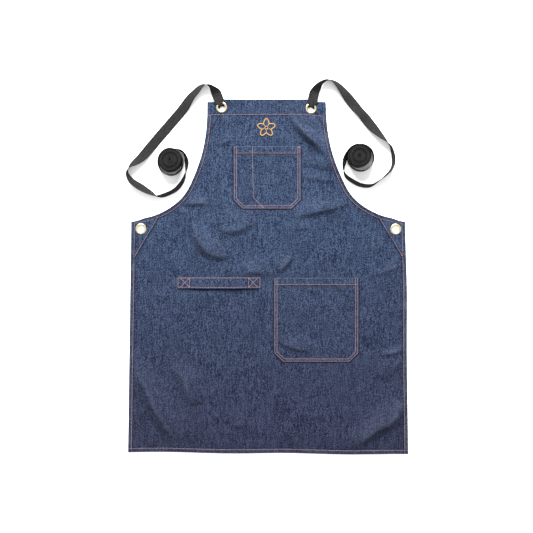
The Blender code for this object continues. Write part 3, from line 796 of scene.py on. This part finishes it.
# The hip pocket's creases, in shares of its width and height
HIP_FOLDS = (
    ((0.438, 0.155), (0.241, 0.128), (0.020, 0.281), 0.0048, 0.0075, 0.018),
    ((0.545, 0.812), (0.462, 0.854), (0.378, 0.890), 0.0028, 0.0055, 0.010),
    ((0.868, 0.854), (0.784, 0.878), (0.700, 0.890), 0.0022, 0.0055, 0.010),
)


POCKET_BAND = 0.017  # the folded band along the mouth
POCKET_CELL = 0.0016
POCKET_ROWS = {"outer": 0.0014, "inner": 0.0068}  # each row of stitches, from the pocket's edge


def pocket(name, seed, puff, folds):
    """A patch pocket: turned edges all round, a folded band along its mouth, and slack cloth between."""
    low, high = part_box(name)
    width, height = high.x - low.x, high.y - low.y
    share_x = spread_edges(int(width / POCKET_CELL), [0.002, 0.006, 0.012])
    share_y = spread_edges(int(height / POCKET_CELL), [0.002, 0.006, 0.012])
    v, u = np.meshgrid(share_y, share_x, indexing="ij")
    y = low.y + v * height
    inset = np.maximum(0, POCKET_CORNER - (y - low.y))
    x = low.x + inset + u * (width - 2 * inset)
    rim = np.maximum(inside_pocket(name, x, y), 0)
    mouth = high.y - y
    z, _ = relief(x, y)
    turned = 1 - smooth((rim - 0.0078) / 0.0016)
    banded = 1 - smooth((mouth - POCKET_BAND + 0.0006) / 0.0014)
    inner = smooth(rim / 0.035) * smooth(mouth / 0.02)
    slack = puff * inner * (0.6 + 0.4 * noise(x, y, 0.07, seed))
    slack += 0.00045 * noise(x, y, 0.018, seed + 1) * smooth(rim / 0.012)
    slack += 0.00020 * noise(x, y, 0.008, seed + 2)
    for *points, rise, steep, gentle in folds:
        points = [np.array(point) * (width, height) + (low.x, low.y) for point in points]
        fold = crease(x, y, points, rise, steep, gentle, ends=0.03, power=0.8, count=40)
        slack += fold * smooth(rim / 0.01)
    gape = 0.0012 * smooth(rim / 0.05) * (1 - smooth(mouth / 0.05))
    thick = CLOTH + 0.0008 * turned + 0.0012 * banded
    top = z + CLEAR + thick + slack + gape
    for far in POCKET_ROWS.values():
        top -= 0.00030 * bell(rim - far, 0.0009)
    top -= 0.00035 * bell(mouth - POCKET_BAND, 0.0010) * smooth(rim / 0.003)
    rope = np.sin(2 * np.pi * (x + y) / 0.0085 + 2.5 * noise(x, y, 0.02, seed + 3))
    top += 0.00016 * rope * bell(rim - 0.0042, 0.0028)
    pucker = np.sin(2 * np.pi * x / 0.011 + 3 * noise(x, y * 0.3, 0.03, seed + 4))
    top += 0.00018 * pucker * bell(mouth - POCKET_BAND * 0.55, 0.006)
    edge = np.minimum(rim, mouth)
    drawn = tuck(thick, edge, 0.0010)
    upper = np.stack([x, y, top - drawn], -1)
    lower = np.stack([x, y, np.maximum(top - thick, z + 0.0002) + drawn * 0.6], -1)
    made, used = shell(f"{name}_cloth", upper, lower, MATERIALS["denim"])

    bump = curvature(top, 5) / 0.0004
    slope = np.gradient(top, y[:, 0], axis=0)
    # Paler on worn ridges and edges, plus a painted highlight on slopes facing the key light
    wear_and_highlight = 0.5 * np.clip(bump - 0.2, 0, 1) + 0.5 * np.clip(-slope - 0.05, 0, 0.5)
    wear_and_highlight += 0.85 * bell(edge - 0.0004, 0.0011)
    # Painted shade in the hollows, just below the band's hem line, and on slopes turned from the key light
    deep = 0.45 * np.clip(-bump - 0.2, 0, 1) + 0.35 * bell(mouth - POCKET_BAND - 0.0026, 0.0018)
    deep += 0.6 * np.clip(slope - 0.05, 0, 0.5)
    wear_highlight_and_shade(made, used, wear_and_highlight, deep)
    declare_cloth(made)

    def height_of(px, py):
        """The pocket's upper face, read from its grid."""
        narrower = np.maximum(0, POCKET_CORNER - (py - low.y))
        pu = np.clip((px - low.x - narrower) / (width - 2 * narrower), 0, 1)
        pv = np.clip((py - low.y) / height, 0, 1)
        iu = np.clip(np.searchsorted(share_x, pu) - 1, 0, len(share_x) - 2)
        iv = np.clip(np.searchsorted(share_y, pv) - 1, 0, len(share_y) - 2)
        fu = (pu - share_x[iu]) / (share_x[iu + 1] - share_x[iu])
        fv = (pv - share_y[iv]) / (share_y[iv + 1] - share_y[iv])
        low_row = blend(top[iv, iu], top[iv, iu + 1], fu)
        high_row = blend(top[iv + 1, iu], top[iv + 1, iu + 1], fu)
        return blend(low_row, high_row, fv)

    for label, far in POCKET_ROWS.items():
        corner = POCKET_CORNER - far * (2 - math.sqrt(2))
        a, b, c, d = low.x + far, high.x - far, low.y + far, high.y - 0.0008
        row = [(a, d), (a, c + corner), (a + corner, c), (b - corner, c), (b, c + corner), (b, d)]
        stitches(f"{name}_{label}_stitches", [row], height_of, f"{name}_{label}_thread")
    hem = [(low.x + 0.002, high.y - POCKET_BAND), (high.x - 0.002, high.y - POCKET_BAND)]
    stitches(f"{name}_hem_stitches", [hem], height_of, f"{name}_hem_thread", 1.25 * THREAD)
    return height_of, low, high


def pencil_slot(height_of, low, high):
    """The row of stitches that parts a narrow slot from the bib pocket, down to its bottom seam."""
    row = [(low.x + 0.0466, high.y - 0.001), (low.x + 0.0490, low.y + 0.0282)]
    row.append((low.x + 0.0728, low.y + 0.0033))
    stitches("pencil_slot_stitches", [row], height_of, "pencil_slot_thread")


def hem_stitches():
    """The rows along the panel's edges: top hem, bottom hem, both sides and both armholes."""
    stitches("top_hem_stitches", [TOP_HEM], surface, "top_hem_thread")
    reach = SKIRT_HALF - 0.001
    y = BOTTOM_STITCH - TOP
    stitches("bottom_hem_stitches", [[(-reach, y), (reach, y)]], surface, "bottom_hem_thread")
    for side_name, side in SIDES.items():
        y = np.linspace(0.001 - TOP, WAIST_Y - SIDE_STITCH, 80)
        row = np.stack([side * (half_width(y) - SIDE_STITCH), y], 1)
        stitches(f"side_{side_name}_stitches", [row], surface, f"side_hem_thread_{side_name}")
        line, _ = armhole(side)
        along = tangents(line)
        row = line + SIDE_STITCH * side * np.stack([along[:, 1], -along[:, 0]], 1)
        row = row[(row[:, 1] < top_line(row[:, 0]) - 0.001) & (np.abs(row[:, 0]) < WAIST_HALF - SIDE_STITCH)]
        stitches(f"armhole_{side_name}_stitches", [row], surface, f"armhole_thread_{side_name}")


PATCH_INSET = 0.0012  # the patch's outer edges, in from the panel's


def waist_patch(side_name):
    """A triangle of denim over a waist corner, sewn down along its slant, with a hole for the eyelet."""
    side = SIDES[side_name]
    start, end = [np.array(point) for point in PATCH_SLANT[side_name]]
    slope = (end - start) / np.linalg.norm(end - start)
    inward = np.array([-slope[1], slope[0]])
    edge = start - PATCH_SEAM * inward
    line, _ = armhole(1, 1500)
    along = tangents(line)
    line = line + PATCH_INSET * np.stack([along[:, 1], -along[:, 0]], 1)
    within = ((line - edge) @ inward > 0) & (line[:, 1] < 0.2) & (line[:, 0] < WAIST_HALF - PATCH_INSET)
    line = line[within]
    corner = np.array([WAIST_HALF - PATCH_INSET, WAIST_Y - PATCH_INSET])
    first, last = line[0], edge + slope * (WAIST_HALF - PATCH_INSET - edge[0]) / slope[0]

    # Rows of the grid run from the slant to the outline: along the armhole, round the corner, down the side
    armhole_part, _ = resample(np.concatenate([line, [corner]]), 0.0001)
    lengths = np.linalg.norm(first - corner), np.linalg.norm(last - corner)
    turn = lengths[0] / sum(lengths)
    shares = np.linspace(0.02, 0.98, 70)
    shares[np.abs(shares - turn).argmin()] = turn
    outline = []
    for share in shares:
        if share <= turn:
            outline.append(armhole_part[int(round(share / turn * (len(armhole_part) - 1)))])
        else:
            outline.append(blend(corner, last, (share - turn) / (1 - turn)))
    slant = first + (last - first) * shares[:, None]
    rows = spread_edges(46, [0.006, 0.02])
    grid = slant + (np.array(outline) - slant) * rows[:, None, None]
    x, y, keep = cut_holes(side * grid[..., 0], grid[..., 1], [WAIST_EYES[side_name]])

    base = panel_top(x, y)
    depth = patch_depth(x, y, side_name)
    top = base + CLEAR + CLOTH + 0.0005 * (1 - smooth((depth - 0.007) / 0.002))
    top -= 0.0003 * bell(depth - PATCH_SEAM, 0.0009)
    rope = np.sin(2 * np.pi * y / 0.008 + 2 * noise(x, y, 0.02, 71))
    top += 0.00012 * rope * bell(depth - 0.0045, 0.003)
    rim = np.minimum(np.abs(depth), (1 - rows[:, None]) * 0.03)
    drawn = tuck(CLOTH, rim, 0.0010)
    x, y = laid(x, y)
    upper = np.stack([x, y, top - drawn], -1)
    lower = np.stack([x, y, base + 0.0002 + 0.6 * drawn], -1)
    if side > 0:
        upper, lower, keep, depth = upper[:, ::-1], lower[:, ::-1], keep[:, ::-1], depth[:, ::-1]
    made, used = shell(f"waist_patch_{side_name}_cloth", upper, lower, MATERIALS["denim"], keep)
    wear_and_highlight = 0.35 * bell(depth - 0.0003, 0.0010)
    # Painted shade in the groove just inside the slanting seam, with worn paler edges
    wear_highlight_and_shade(made, used, wear_and_highlight, 0.2 * bell(depth - PATCH_SEAM - 0.0012, 0.001))
    declare_cloth(made)
    row = [(side * start[0], start[1]), (side * end[0], end[1])]
    stitches(f"waist_patch_{side_name}_stitches", [row], surface, f"patch_thread_{side_name}")
    return row


LOOP_THICK = 0.0021
LOOP_BOX = 0.0295  # from each end of the towel loop to the far side of its sewn box


def towel_loop():
    """A band of folded denim, sewn down at both ends with crossed boxes, a little off the panel."""
    low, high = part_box("towel_loop")
    length, width = high.x - low.x, high.y - low.y
    v, u = np.meshgrid(spread_edges(22, [0.012, 0.04]), spread_edges(150, [0.002, 0.006]), indexing="ij")
    x, y = low.x + u * length, low.y + v * width

    def free(px, reach):
        """0 where the band is sewn down, rising to 1 within reach of that."""
        return smooth((np.minimum(px - low.x, high.x - px) - LOOP_BOX) / reach)

    def band_top(px, py):
        drop = 1 - (py - low.y) / width
        stand = free(px, 0.022) * (0.0010 + 0.0024 * drop + 0.0005 * np.sin(px * 60))
        stand = stand + 0.0002 * noise(px, py, 0.012, 81)
        edge = np.minimum(py - low.y, high.y - py)
        rows = 0.00030 * bell(edge - 0.0028, 0.0009)
        rope = np.sin(2 * np.pi * px / 0.008 + 2 * noise(px, py, 0.02, 82))
        rope = 0.00014 * rope * bell(edge - 0.0014, 0.0016)
        return panel_top(px, py) + CLEAR + LOOP_THICK + stand - rows + rope

    def sagged(px, py):
        return py - 0.0006 * free(px, 0.05) * (1 - (py - low.y) / width)

    rim = np.minimum(np.minimum(x - low.x, high.x - x), np.minimum(y - low.y, high.y - y))
    top = band_top(x, y)
    drawn = tuck(LOOP_THICK, rim, 0.0011)
    upper = np.stack([x, sagged(x, y), top - drawn], -1)
    under = np.maximum(top - LOOP_THICK, panel_top(x, y) + 0.0002)
    lower = np.stack([x, sagged(x, y), under + 0.6 * drawn], -1)
    made, used = shell("towel_loop_cloth", upper, lower, MATERIALS["denim"])
    # Paler worn edges, and painted shade along the groove by the stitch rows
    wear_highlight_and_shade(made, used, 0.35 * bell(rim - 0.0003, 0.0011), 0.15 * bell(rim - 0.0045, 0.0012))
    declare_cloth(made)

    rows = {"upper": high.y - 0.0022, "lower": low.y + 0.0034}
    left, right = low.x + 0.0012, high.x - 0.0012
    for label, row_y in rows.items():
        along = np.linspace(left, right, 60)
        row = np.stack([along, sagged(along, np.full(60, row_y))], 1)
        thread = f"towel_loop_thread_{label}"
        stitches(f"towel_loop_{label}_stitches", [row], band_top, thread, 1.2 * THREAD)
    for side_name, outer, inner in (("left", left, low.x + LOOP_BOX), ("right", right, high.x - LOOP_BOX)):
        near = outer + 0.2 * (inner - outer)
        a, b = (near, rows["upper"]), (inner, rows["upper"])
        c, d = (near, rows["lower"]), (inner, rows["lower"])
        paths = [[(outer, rows["upper"]), (outer, rows["lower"])], [b, d], [a, d], [c, b]]
        thread = f"towel_loop_thread_{side_name}"
        stitches(f"towel_loop_{side_name}_stitches", paths, band_top, thread, 1.2 * THREAD)


def bar_tacks(height_of, low, high, slants):
    """Short dense bars of reddish thread where rows of stitches end or carry load."""
    on_pocket = [
        ([(low.x + 0.0705, low.y + 0.0056), (low.x + 0.0745, low.y + 0.0016)], 0.0015, 0.0007),
        ([(high.x - 0.0068, high.y - 0.0012), (high.x - 0.0014, high.y - 0.0030)], 0.0017, 0.0007),
    ]
    on_patches = []
    for start, end in np.array(slants):
        for share in (0.03, 0.95):
            reach = (end - start) * 0.0028 / math.dist(start, end)
            middle = blend(start, end, share)
            on_patches.append(([middle - reach, middle + reach], 0.0014, 0.0007))
    for name, bands, top in (
        ("pocket_bar_tacks", on_pocket, height_of),
        ("patch_bar_tacks", on_patches, surface),
    ):
        place(satin(name, bands, top, 0.0005, 0.00026, MATERIALS["tack"]), "root", "thread")


def flower():
    """Five petals in satin stitch: an outline, a line between each two petals, and a small ring."""
    low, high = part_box("embroidered_flower")
    x0, y0 = (low.x + high.x) / 2, high.y - 0.0223
    pitch = 0.00042

    def polar(reach, angle):
        return np.stack([x0 + reach * np.cos(angle), y0 + reach * np.sin(angle)], -1)

    turn = np.linspace(0, 2 * np.pi, 721)
    petals = 0.0175 + 0.0048 * np.cos(5 * (turn - np.pi / 2))
    bands = [(polar(petals, turn), 0.0022, pitch), (polar(0.0040, turn), 0.0018, pitch)]
    for petal in range(5):
        angle = math.radians(90 + 36 + 72 * petal)
        bands.append((polar(np.array([0.0068, 0.0118]), angle), 0.0016, pitch))
    made = satin("flower_embroidery", bands, surface, 0.0007, 0.00027, MATERIALS["flower"])
    place(made, "root", "embroidery", "embroidered_flower")


# ---- Eyelets ----


# The ring's rolled face, as radii and heights above its seat, then its barrel's lip behind the cloth
RING_FACE = (
    (0.01350, 0.00000), (0.01352, 0.00035), (0.01330, 0.00075), (0.01280, 0.00112), (0.01200, 0.00138),
    (0.01110, 0.00146), (0.01020, 0.00134), (0.00945, 0.00100), (0.00885, 0.00045), (0.00845, -0.00030),
)
RING_LIP = ((0.00815, 0.0006), (0.00805, 0.0), (0.00820, -0.0003), (0.00850, -0.0002), (0.00860, 0.0003))
WASHER_THICK = 0.0004
# The washer's outline, as radii and shares of its thickness below its upper face
WASHER = (
    (0.01350, 0.3), (0.01340, 0.02), (0.01290, 0), (0.01000, 0), (0.00900, 0.1), (0.00890, 0.6),
    (0.00910, 1), (0.01320, 1), (0.01348, 0.7),
)


def eyelet(name, centre, washer):
    """A rolled brass ring with its barrel through the cloth, and the flat washer behind it."""
    around = np.linspace(0, 2 * np.pi, 24, endpoint=False)
    ring_x, ring_y = centre.x + 0.012 * np.cos(around), centre.y + 0.012 * np.sin(around)
    seat = float(np.median(surface(ring_x, ring_y)))
    back = float(np.median(panel_top(ring_x, ring_y) - relief(ring_x, ring_y)[1]))
    profile = [(r, seat + h) for r, h in RING_FACE] + [(r, back + h) for r, h in RING_LIP]
    profile += [(0.00860, seat - 0.0006), (0.00900, seat - 0.0001)]
    made = lathe(f"{name}_ring", profile, centre, MATERIALS["brass"])
    place(made, "root", "eyelet_metal", name)
    profile = [(r, back - share * WASHER_THICK) for r, share in WASHER]
    made = lathe(f"{washer}_ring", profile, centre, MATERIALS["brass"])
    place(made, "root", "eyelet_metal", washer)


# ---- Straps ----

# Each strap's way from its sewn loop to its roll: x, y, and its lean in degrees. At 0 it lies flat, at 90 it
# stands on edge, and at 180 it lies flat with its other face up.
STRAP_ROUTE = {
    "left": (
        (-0.1367, 0.4663, 56), (-0.1425, 0.4721, 74), (-0.1499, 0.4762, 90), (-0.1582, 0.4769, 110),
        (-0.1655, 0.4739, 124), (-0.1728, 0.4680, 132), (-0.1817, 0.4578, 140), (-0.1915, 0.4484, 147),
        (-0.2018, 0.4335, 163), (-0.2146, 0.4155, 178), (-0.2296, 0.3978, 180), (-0.2596, 0.3631, 180),
        (-0.2896, 0.3281, 180), (-0.3041, 0.3101, 172), (-0.3183, 0.2944, 155), (-0.3327, 0.2829, 135),
        (-0.3439, 0.2743, 112), (-0.3510, 0.2621, 90), (-0.3478, 0.2492, 70), (-0.3386, 0.2369, 56),
        (-0.3183, 0.2232, 46), (-0.2988, 0.2114, 58), (-0.2848, 0.2033, 74), (-0.2778, 0.1994, 92),
        (-0.2627, 0.2008, 106), (-0.2489, 0.2061, 106), (-0.2351, 0.2124, 107), (-0.2229, 0.2224, 107),
        (-0.2130, 0.2362, 104), (-0.2063, 0.2527, 92), (-0.2025, 0.2693, 70), (-0.2022, 0.2845, 62),
        (-0.2063, 0.3011, 74), (-0.2129, 0.3118, 86), (-0.2249, 0.3156, 90), (-0.2380, 0.3188, 90),
    ),
    "right": (
        (0.1198, 0.4656, 34), (0.1249, 0.4738, 54), (0.1317, 0.4806, 72), (0.1405, 0.4867, 86),
        (0.1471, 0.4892, 92), (0.1566, 0.4885, 108), (0.1683, 0.4816, 124), (0.1784, 0.4720, 134),
        (0.1891, 0.4590, 148), (0.2008, 0.4445, 168), (0.2129, 0.4298, 176), (0.2251, 0.4148, 160),
        (0.2362, 0.4030, 162), (0.2456, 0.3917, 174), (0.2552, 0.3791, 170), (0.2665, 0.3658, 154),
        (0.2791, 0.3520, 134), (0.2926, 0.3390, 112), (0.3035, 0.3267, 92), (0.3085, 0.3129, 82),
        (0.3118, 0.2977, 78), (0.3121, 0.2825, 78), (0.3063, 0.2660, 80), (0.2919, 0.2508, 84),
        (0.2759, 0.2384, 92), (0.2588, 0.2268, 102), (0.2450, 0.2251, 106), (0.2257, 0.2290, 106),
        (0.2063, 0.2395, 106), (0.1925, 0.2508, 100), (0.1873, 0.2646, 80), (0.1884, 0.2798, 66),
        (0.1925, 0.2964, 64), (0.1997, 0.3124, 76), (0.2096, 0.3240, 86), (0.2239, 0.3283, 90),
    ),
}
# Each roll: turns counted from where the strap meets it, with the radius there, before the tight core
ROLL_CENTRE = {name: middle_of(f"strap_{name}_roll") for name in SIDES}
ROLL_START = {"left": 83.0, "right": 100.0}
ROLL_SWEEP = {"left": 1, "right": -1}
ROLL_LOOSE = {
    "left": (
        (0, 0.0341), (0.15, 0.0322), (0.27, 0.0308), (0.40, 0.0322), (0.52, 0.0334), (0.65, 0.0318),
        (0.77, 0.0304), (0.90, 0.0312), (1.02, 0.0322), (1.27, 0.0288), (1.52, 0.0268),
    ),
    "right": (
        (0, 0.0340), (0.15, 0.0332), (0.28, 0.0328), (0.40, 0.0320), (0.52, 0.0326), (0.65, 0.0312),
        (0.77, 0.0318), (0.90, 0.0318), (1.02, 0.0318), (1.27, 0.0286), (1.52, 0.0266),
    ),
}
ROLL_CORE = {"left": (0.0276, (-0.0004, 0.0036)), "right": (0.0272, (-0.0034, 0.0046))}
WEB_TURN = 0.00185
LEAST_LEAN = math.radians(5)


def spline_points(points, steps):
    points = np.asarray(points, float)
    padded = np.concatenate([points[:1], points, points[-1:]])
    t = (np.arange(steps) / steps)[:, None]
    made = []
    for i in range(len(points) - 1):
        a, b, c, d = padded[i : i + 4]
        turn = (2 * a - 5 * b + 4 * c - d) * t**2 + (3 * b - a - 3 * c + d) * t**3
        made.append(0.5 * (2 * b + (c - a) * t + turn))
    return np.concatenate([*made, points[-1:]])


def roll_points(side_name):
    """The roll: a loose outer turn and a half, then a tight core, standing on edge."""
    centre = ROLL_CENTRE[side_name]
    core, (core_x, core_y) = ROLL_CORE[side_name]
    loose = np.array(ROLL_LOOSE[side_name])
    loose_turns = loose[-1, 0]
    turns = loose_turns + (core - 0.0030) / WEB_TURN
    turned = np.linspace(0, turns, int(turns * 60))
    angle = np.radians(ROLL_START[side_name]) + ROLL_SWEEP[side_name] * turned * 2 * np.pi
    slack = np.interp(turned, loose[:, 0], loose[:, 1])
    for _ in range(12):
        slack[1:-1] = (slack[:-2] + slack[2:]) / 2
    tight = core - (turned - loose_turns) * WEB_TURN
    tight *= 1 + 0.012 * np.sin(2 * angle + 0.5) + 0.006 * np.sin(3 * angle + 1.1)
    share = smooth((turned - loose_turns + 0.62) / 0.55)
    radius = blend(slack, tight, share)
    x = centre.x + radius * np.cos(angle) + core_x * share
    y = centre.y + radius * np.sin(angle) + core_y * share
    height = 0.0005 * np.sin(turned * 1.9) * smooth(turned / 2) + 0.0006 * smooth(turned / 3)
    return np.stack([x, y, np.full(len(turned), 90.0), np.maximum(height, 0)], 1)


# The strap's sewn loop from the side, as distances out from the eyelet's middle and heights: the under
# ply from its end to the hole, a turn through the hole, and the upper ply back to where it is sewn down
UNDER_PLY = (
    (0.0425, 0.0050), (0.0395, 0.0042), (0.0370, 0.0024), (0.0345, 0.0010), (0.0300, 0.0009),
    (0.0240, 0.0009), (0.0180, 0.0009), (0.0120, 0.0009), (0.0085, 0.0009),
)
UPPER_PLY = (
    (0.0085, 0.0074), (0.0120, 0.0079), (0.0180, 0.0081), (0.0260, 0.0078), (0.0340, 0.0073),
    (0.0380, 0.0071), (0.0405, 0.0072),
)


def sewn_loop(side_name):
    """The loop through the eyelet: centres, half-width vectors, and distances out from the eyelet."""
    turn = np.radians(np.linspace(270, 90, 11))
    turn = np.stack([0.0052 + 0.0028 * np.cos(turn), 0.0040 + 0.0031 * np.sin(turn)], 1)
    reach, height = spline_points(np.concatenate([UNDER_PLY, turn, UPPER_PLY]), 4).T
    heading = math.radians(STRAP_HEADING[side_name])
    out = np.array([math.cos(heading), math.sin(heading)])
    flat = np.array(BIB_EYES[side_name].xy) + out * reach[:, None]
    tilts_from = np.where(np.arange(len(reach)) < reach.argmin(), 0.032, 0.024)
    tilt = SIDES[side_name] * np.radians(30) * smooth((reach - tilts_from) / (0.048 - tilts_from))
    halves = np.stack([-out[1] * np.cos(tilt), out[0] * np.cos(tilt), np.sin(tilt)], 1)
    return np.concatenate([flat, height[:, None]], 1), halves, reach


def ribbon_frames(side_name):
    """A strap's centres, half-width vectors and bunching from sewn end to roll, and where its roll starts."""
    loop, loop_halves, reach = sewn_loop(side_name)
    route = spline_points(STRAP_ROUTE[side_name], 10)
    count = len(route)
    path = np.concatenate([route, roll_points(side_name)[1:, :3]])
    rolled = np.arange(len(path)) >= count
    along = tangents(path[:, :2])
    lean = np.radians(path[:, 2])
    leaning = np.pi / 2 + np.where(lean < np.pi / 2, -1, 1) * LEAST_LEAN
    lean = np.where((np.abs(lean - np.pi / 2) < LEAST_LEAN) & ~rolled, leaning, lean) * SIDES[side_name]
    halves = np.stack([-along[:, 1] * np.cos(lean), along[:, 0] * np.cos(lean), np.sin(lean)], 1)
    lift = np.concatenate([0.0012 * (1 - smooth(np.arange(count) / 60)), roll_points(side_name)[1:, 3]])
    z = ABOVE_FLOOR + np.abs(halves[:, 2]) * WEBBING / 2 + np.abs(np.cos(lean)) * WEB / 2 + lift
    centres = np.concatenate([loop, np.stack([path[:, 0], path[:, 1], z], 1)])
    bunch = np.concatenate([1 - smooth((reach - 0.0050) / 0.0072), np.zeros(len(path))])
    return centres, np.concatenate([loop_halves, halves]), bunch, len(loop) + count


SECTION_COLUMNS = 13
SECTION_STEP = 0.0013


def strap(side_name):
    side = SIDES[side_name]
    centres, halves, bunch, before_roll = ribbon_frames(side_name)
    step = np.linalg.norm(np.diff(centres, axis=0), axis=1)
    far = np.concatenate([[0], np.cumsum(step)])
    roll_start = far[before_roll]
    keep = np.concatenate([[True], step > 1e-5])
    centres, halves, bunch, far = centres[keep], halves[keep], bunch[keep], far[keep]
    count = int(far[-1] / SECTION_STEP)
    even = np.linspace(0, far[-1], count)
    centres, halves = [
        np.stack([np.interp(even, far, rows[:, k]) for k in range(3)], 1) for rows in (centres, halves)
    ]
    halves = unit(halves)
    bunch = np.interp(even, far, bunch)
    ease = (0.5 * (bunch < 0.05) * (even < roll_start - 0.01))[1:-1, None]
    for _ in range(30):
        for rows in (centres, halves):
            rows[1:-1] += ease * ((rows[:-2] + rows[2:]) / 2 - rows[1:-1])
    halves = unit(halves)
    along = tangents(centres)
    halves = unit(halves - along * (halves * along).sum(1)[:, None])
    normal = np.cross(along, halves)

    # The section: a flat strip with round edges, cupped where it is bunched through the eyelet
    t = np.linspace(-1, 1, SECTION_COLUMNS)[None, :]
    far = even[:, None]
    bunch = bunch[:, None]
    cup = bunch * 1.35
    bend = np.where(cup > 0.02, np.sin(t * cup) / np.maximum(cup, 0.02), t)
    sag = np.where(cup > 0.02, (1 - np.cos(t * cup)) / np.maximum(cup, 0.02), 0)
    wide = bend * WEBBING / 2 * (1 - 0.22 * bunch)
    wide = wide + 0.00018 * noise(far, np.sign(t) * 0.3, 0.004, 47) * np.abs(t) ** 6
    flip = np.where(normal[:, 2] < 0, -1, 1)[:, None]
    ripple = 0.00015 * (1 - bunch) * noise(far, t * 0.012, 0.011, 41 + side)
    out = ripple - sag * WEBBING / 2 * 0.55 * flip
    half_thick = WEB / 2 * (1 - 0.62 * np.abs(t) ** 8)
    faces = []
    for thick in (half_thick, -half_thick):
        face = centres[:, None, :] + halves[:, None, :] * wide[..., None]
        face = face + normal[:, None, :] * (out + thick)[..., None]
        face[..., 2] = np.maximum(face[..., 2], ABOVE_FLOOR)
        faces.append(face)
    made, used = shell(f"strap_{side_name}_webbing", *faces, MATERIALS["webbing"])
    rolled = smooth((even - roll_start) / 0.05)
    for name, values in (("along", even[:, None]), ("across", (t + 1) / 2), ("rolled", rolled[:, None])):
        grid = np.broadcast_to(values, (count, SECTION_COLUMNS))
        store(made, name, np.tile(grid.ravel(), 2)[used])
    body = f"strap_{side_name}"
    place(made, body, "webbing", f"{body}_run", f"{body}_roll")

    # Two rows of stitches across the place where the loop's end is sewn down
    reach = np.linalg.norm(centres[:, :2] - np.array(BIB_EYES[side_name].xy), axis=1)
    threads, sideways = [], []
    up = normal * flip
    ends = np.linspace(-0.72, 0.72, 8)
    for away in (0.0345, 0.0392):
        on_top = np.where((centres[:, 2] > 0.0055) & (even < 0.2), np.abs(reach - away), 1.0)
        i = int(on_top.argmin())
        for a, b in zip(ends[:-1], ends[1:]):
            share = np.linspace(blend(a, b, 0.1), blend(a, b, 0.9), len(STITCH_ARCH))[:, None]
            rise = WEB / 2 + (STITCH_ARCH + 0.0001)[:, None]
            threads.append(centres[i] + halves[i] * share * WEBBING / 2 + up[i] * rise)
            sideways.append(np.repeat(along[i][None, :], len(STITCH_ARCH), 0))
    name, coat = f"{body}_join_stitches", MATERIALS["black_thread"]
    made = tubes(name, np.array(threads), np.array(sideways), THREAD * STITCH_TAPER, coat)
    place(made, body, "thread", f"{body}_join_thread")


# ---- Camera, light and floor ----


def camera_and_light():
    scene = bpy.context.scene
    data = bpy.data.cameras.new("camera")
    camera = bpy.data.objects.new("camera", data)
    scene.collection.objects.link(camera)
    height, seen = 2.2, 1.3325
    data.lens = data.sensor_width * height / seen
    data.clip_start, data.clip_end = 0.05, 50
    camera.location = (-0.004, 0.025, height)
    scene.camera = camera
    scene.view_settings.view_transform = "Standard"

    def area(name, where, size, power):
        """A rectangular light that shines at the middle of the apron."""
        light = bpy.data.lights.new(name, "AREA")
        light.shape = "RECTANGLE"
        light.size, light.size_y = size
        light.energy = power
        made = bpy.data.objects.new(name, light)
        scene.collection.objects.link(made)
        made.location = where
        made.rotation_mode = "QUATERNION"
        made.rotation_quaternion = (-Vector(where)).to_track_quat("-Z", "Y")

    area("key", (-0.25, 2.60, 1.90), (2.2, 1.2), 330)
    area("fill", (0.6, -0.8, 2.6), (2.4, 2.4), 9)
    world = bpy.data.worlds.new("studio")
    scene.world = world
    world.use_nodes = True
    back = world.node_tree.nodes["Background"]
    back.inputs["Color"].default_value = (1, 1, 1, 1)
    back.inputs["Strength"].default_value = 1.20


def floor():
    bpy.ops.mesh.primitive_plane_add(size=8.0, location=(0, 0, -0.0002))
    made = bpy.context.object
    made.name = "floor"
    made.data.materials.append(MATERIALS["floor"])


camera_and_light()
floor()
apron_panel()
bib = pocket("bib_pocket", 51, 0.0012, ())
pocket("hip_pocket", 61, 0.0016, HIP_FOLDS)
pencil_slot(*bib)
hem_stitches()
slants = [waist_patch(side_name) for side_name in SIDES]
towel_loop()
bar_tacks(*bib, slants)
flower()
for side_name in SIDES:
    eyelet(f"bib_eyelet_{side_name}", BIB_EYES[side_name], f"bib_washer_{side_name}")
    eyelet(f"waist_eyelet_{side_name}", WAIST_EYES[side_name], f"waist_washer_{side_name}")
    strap(side_name)
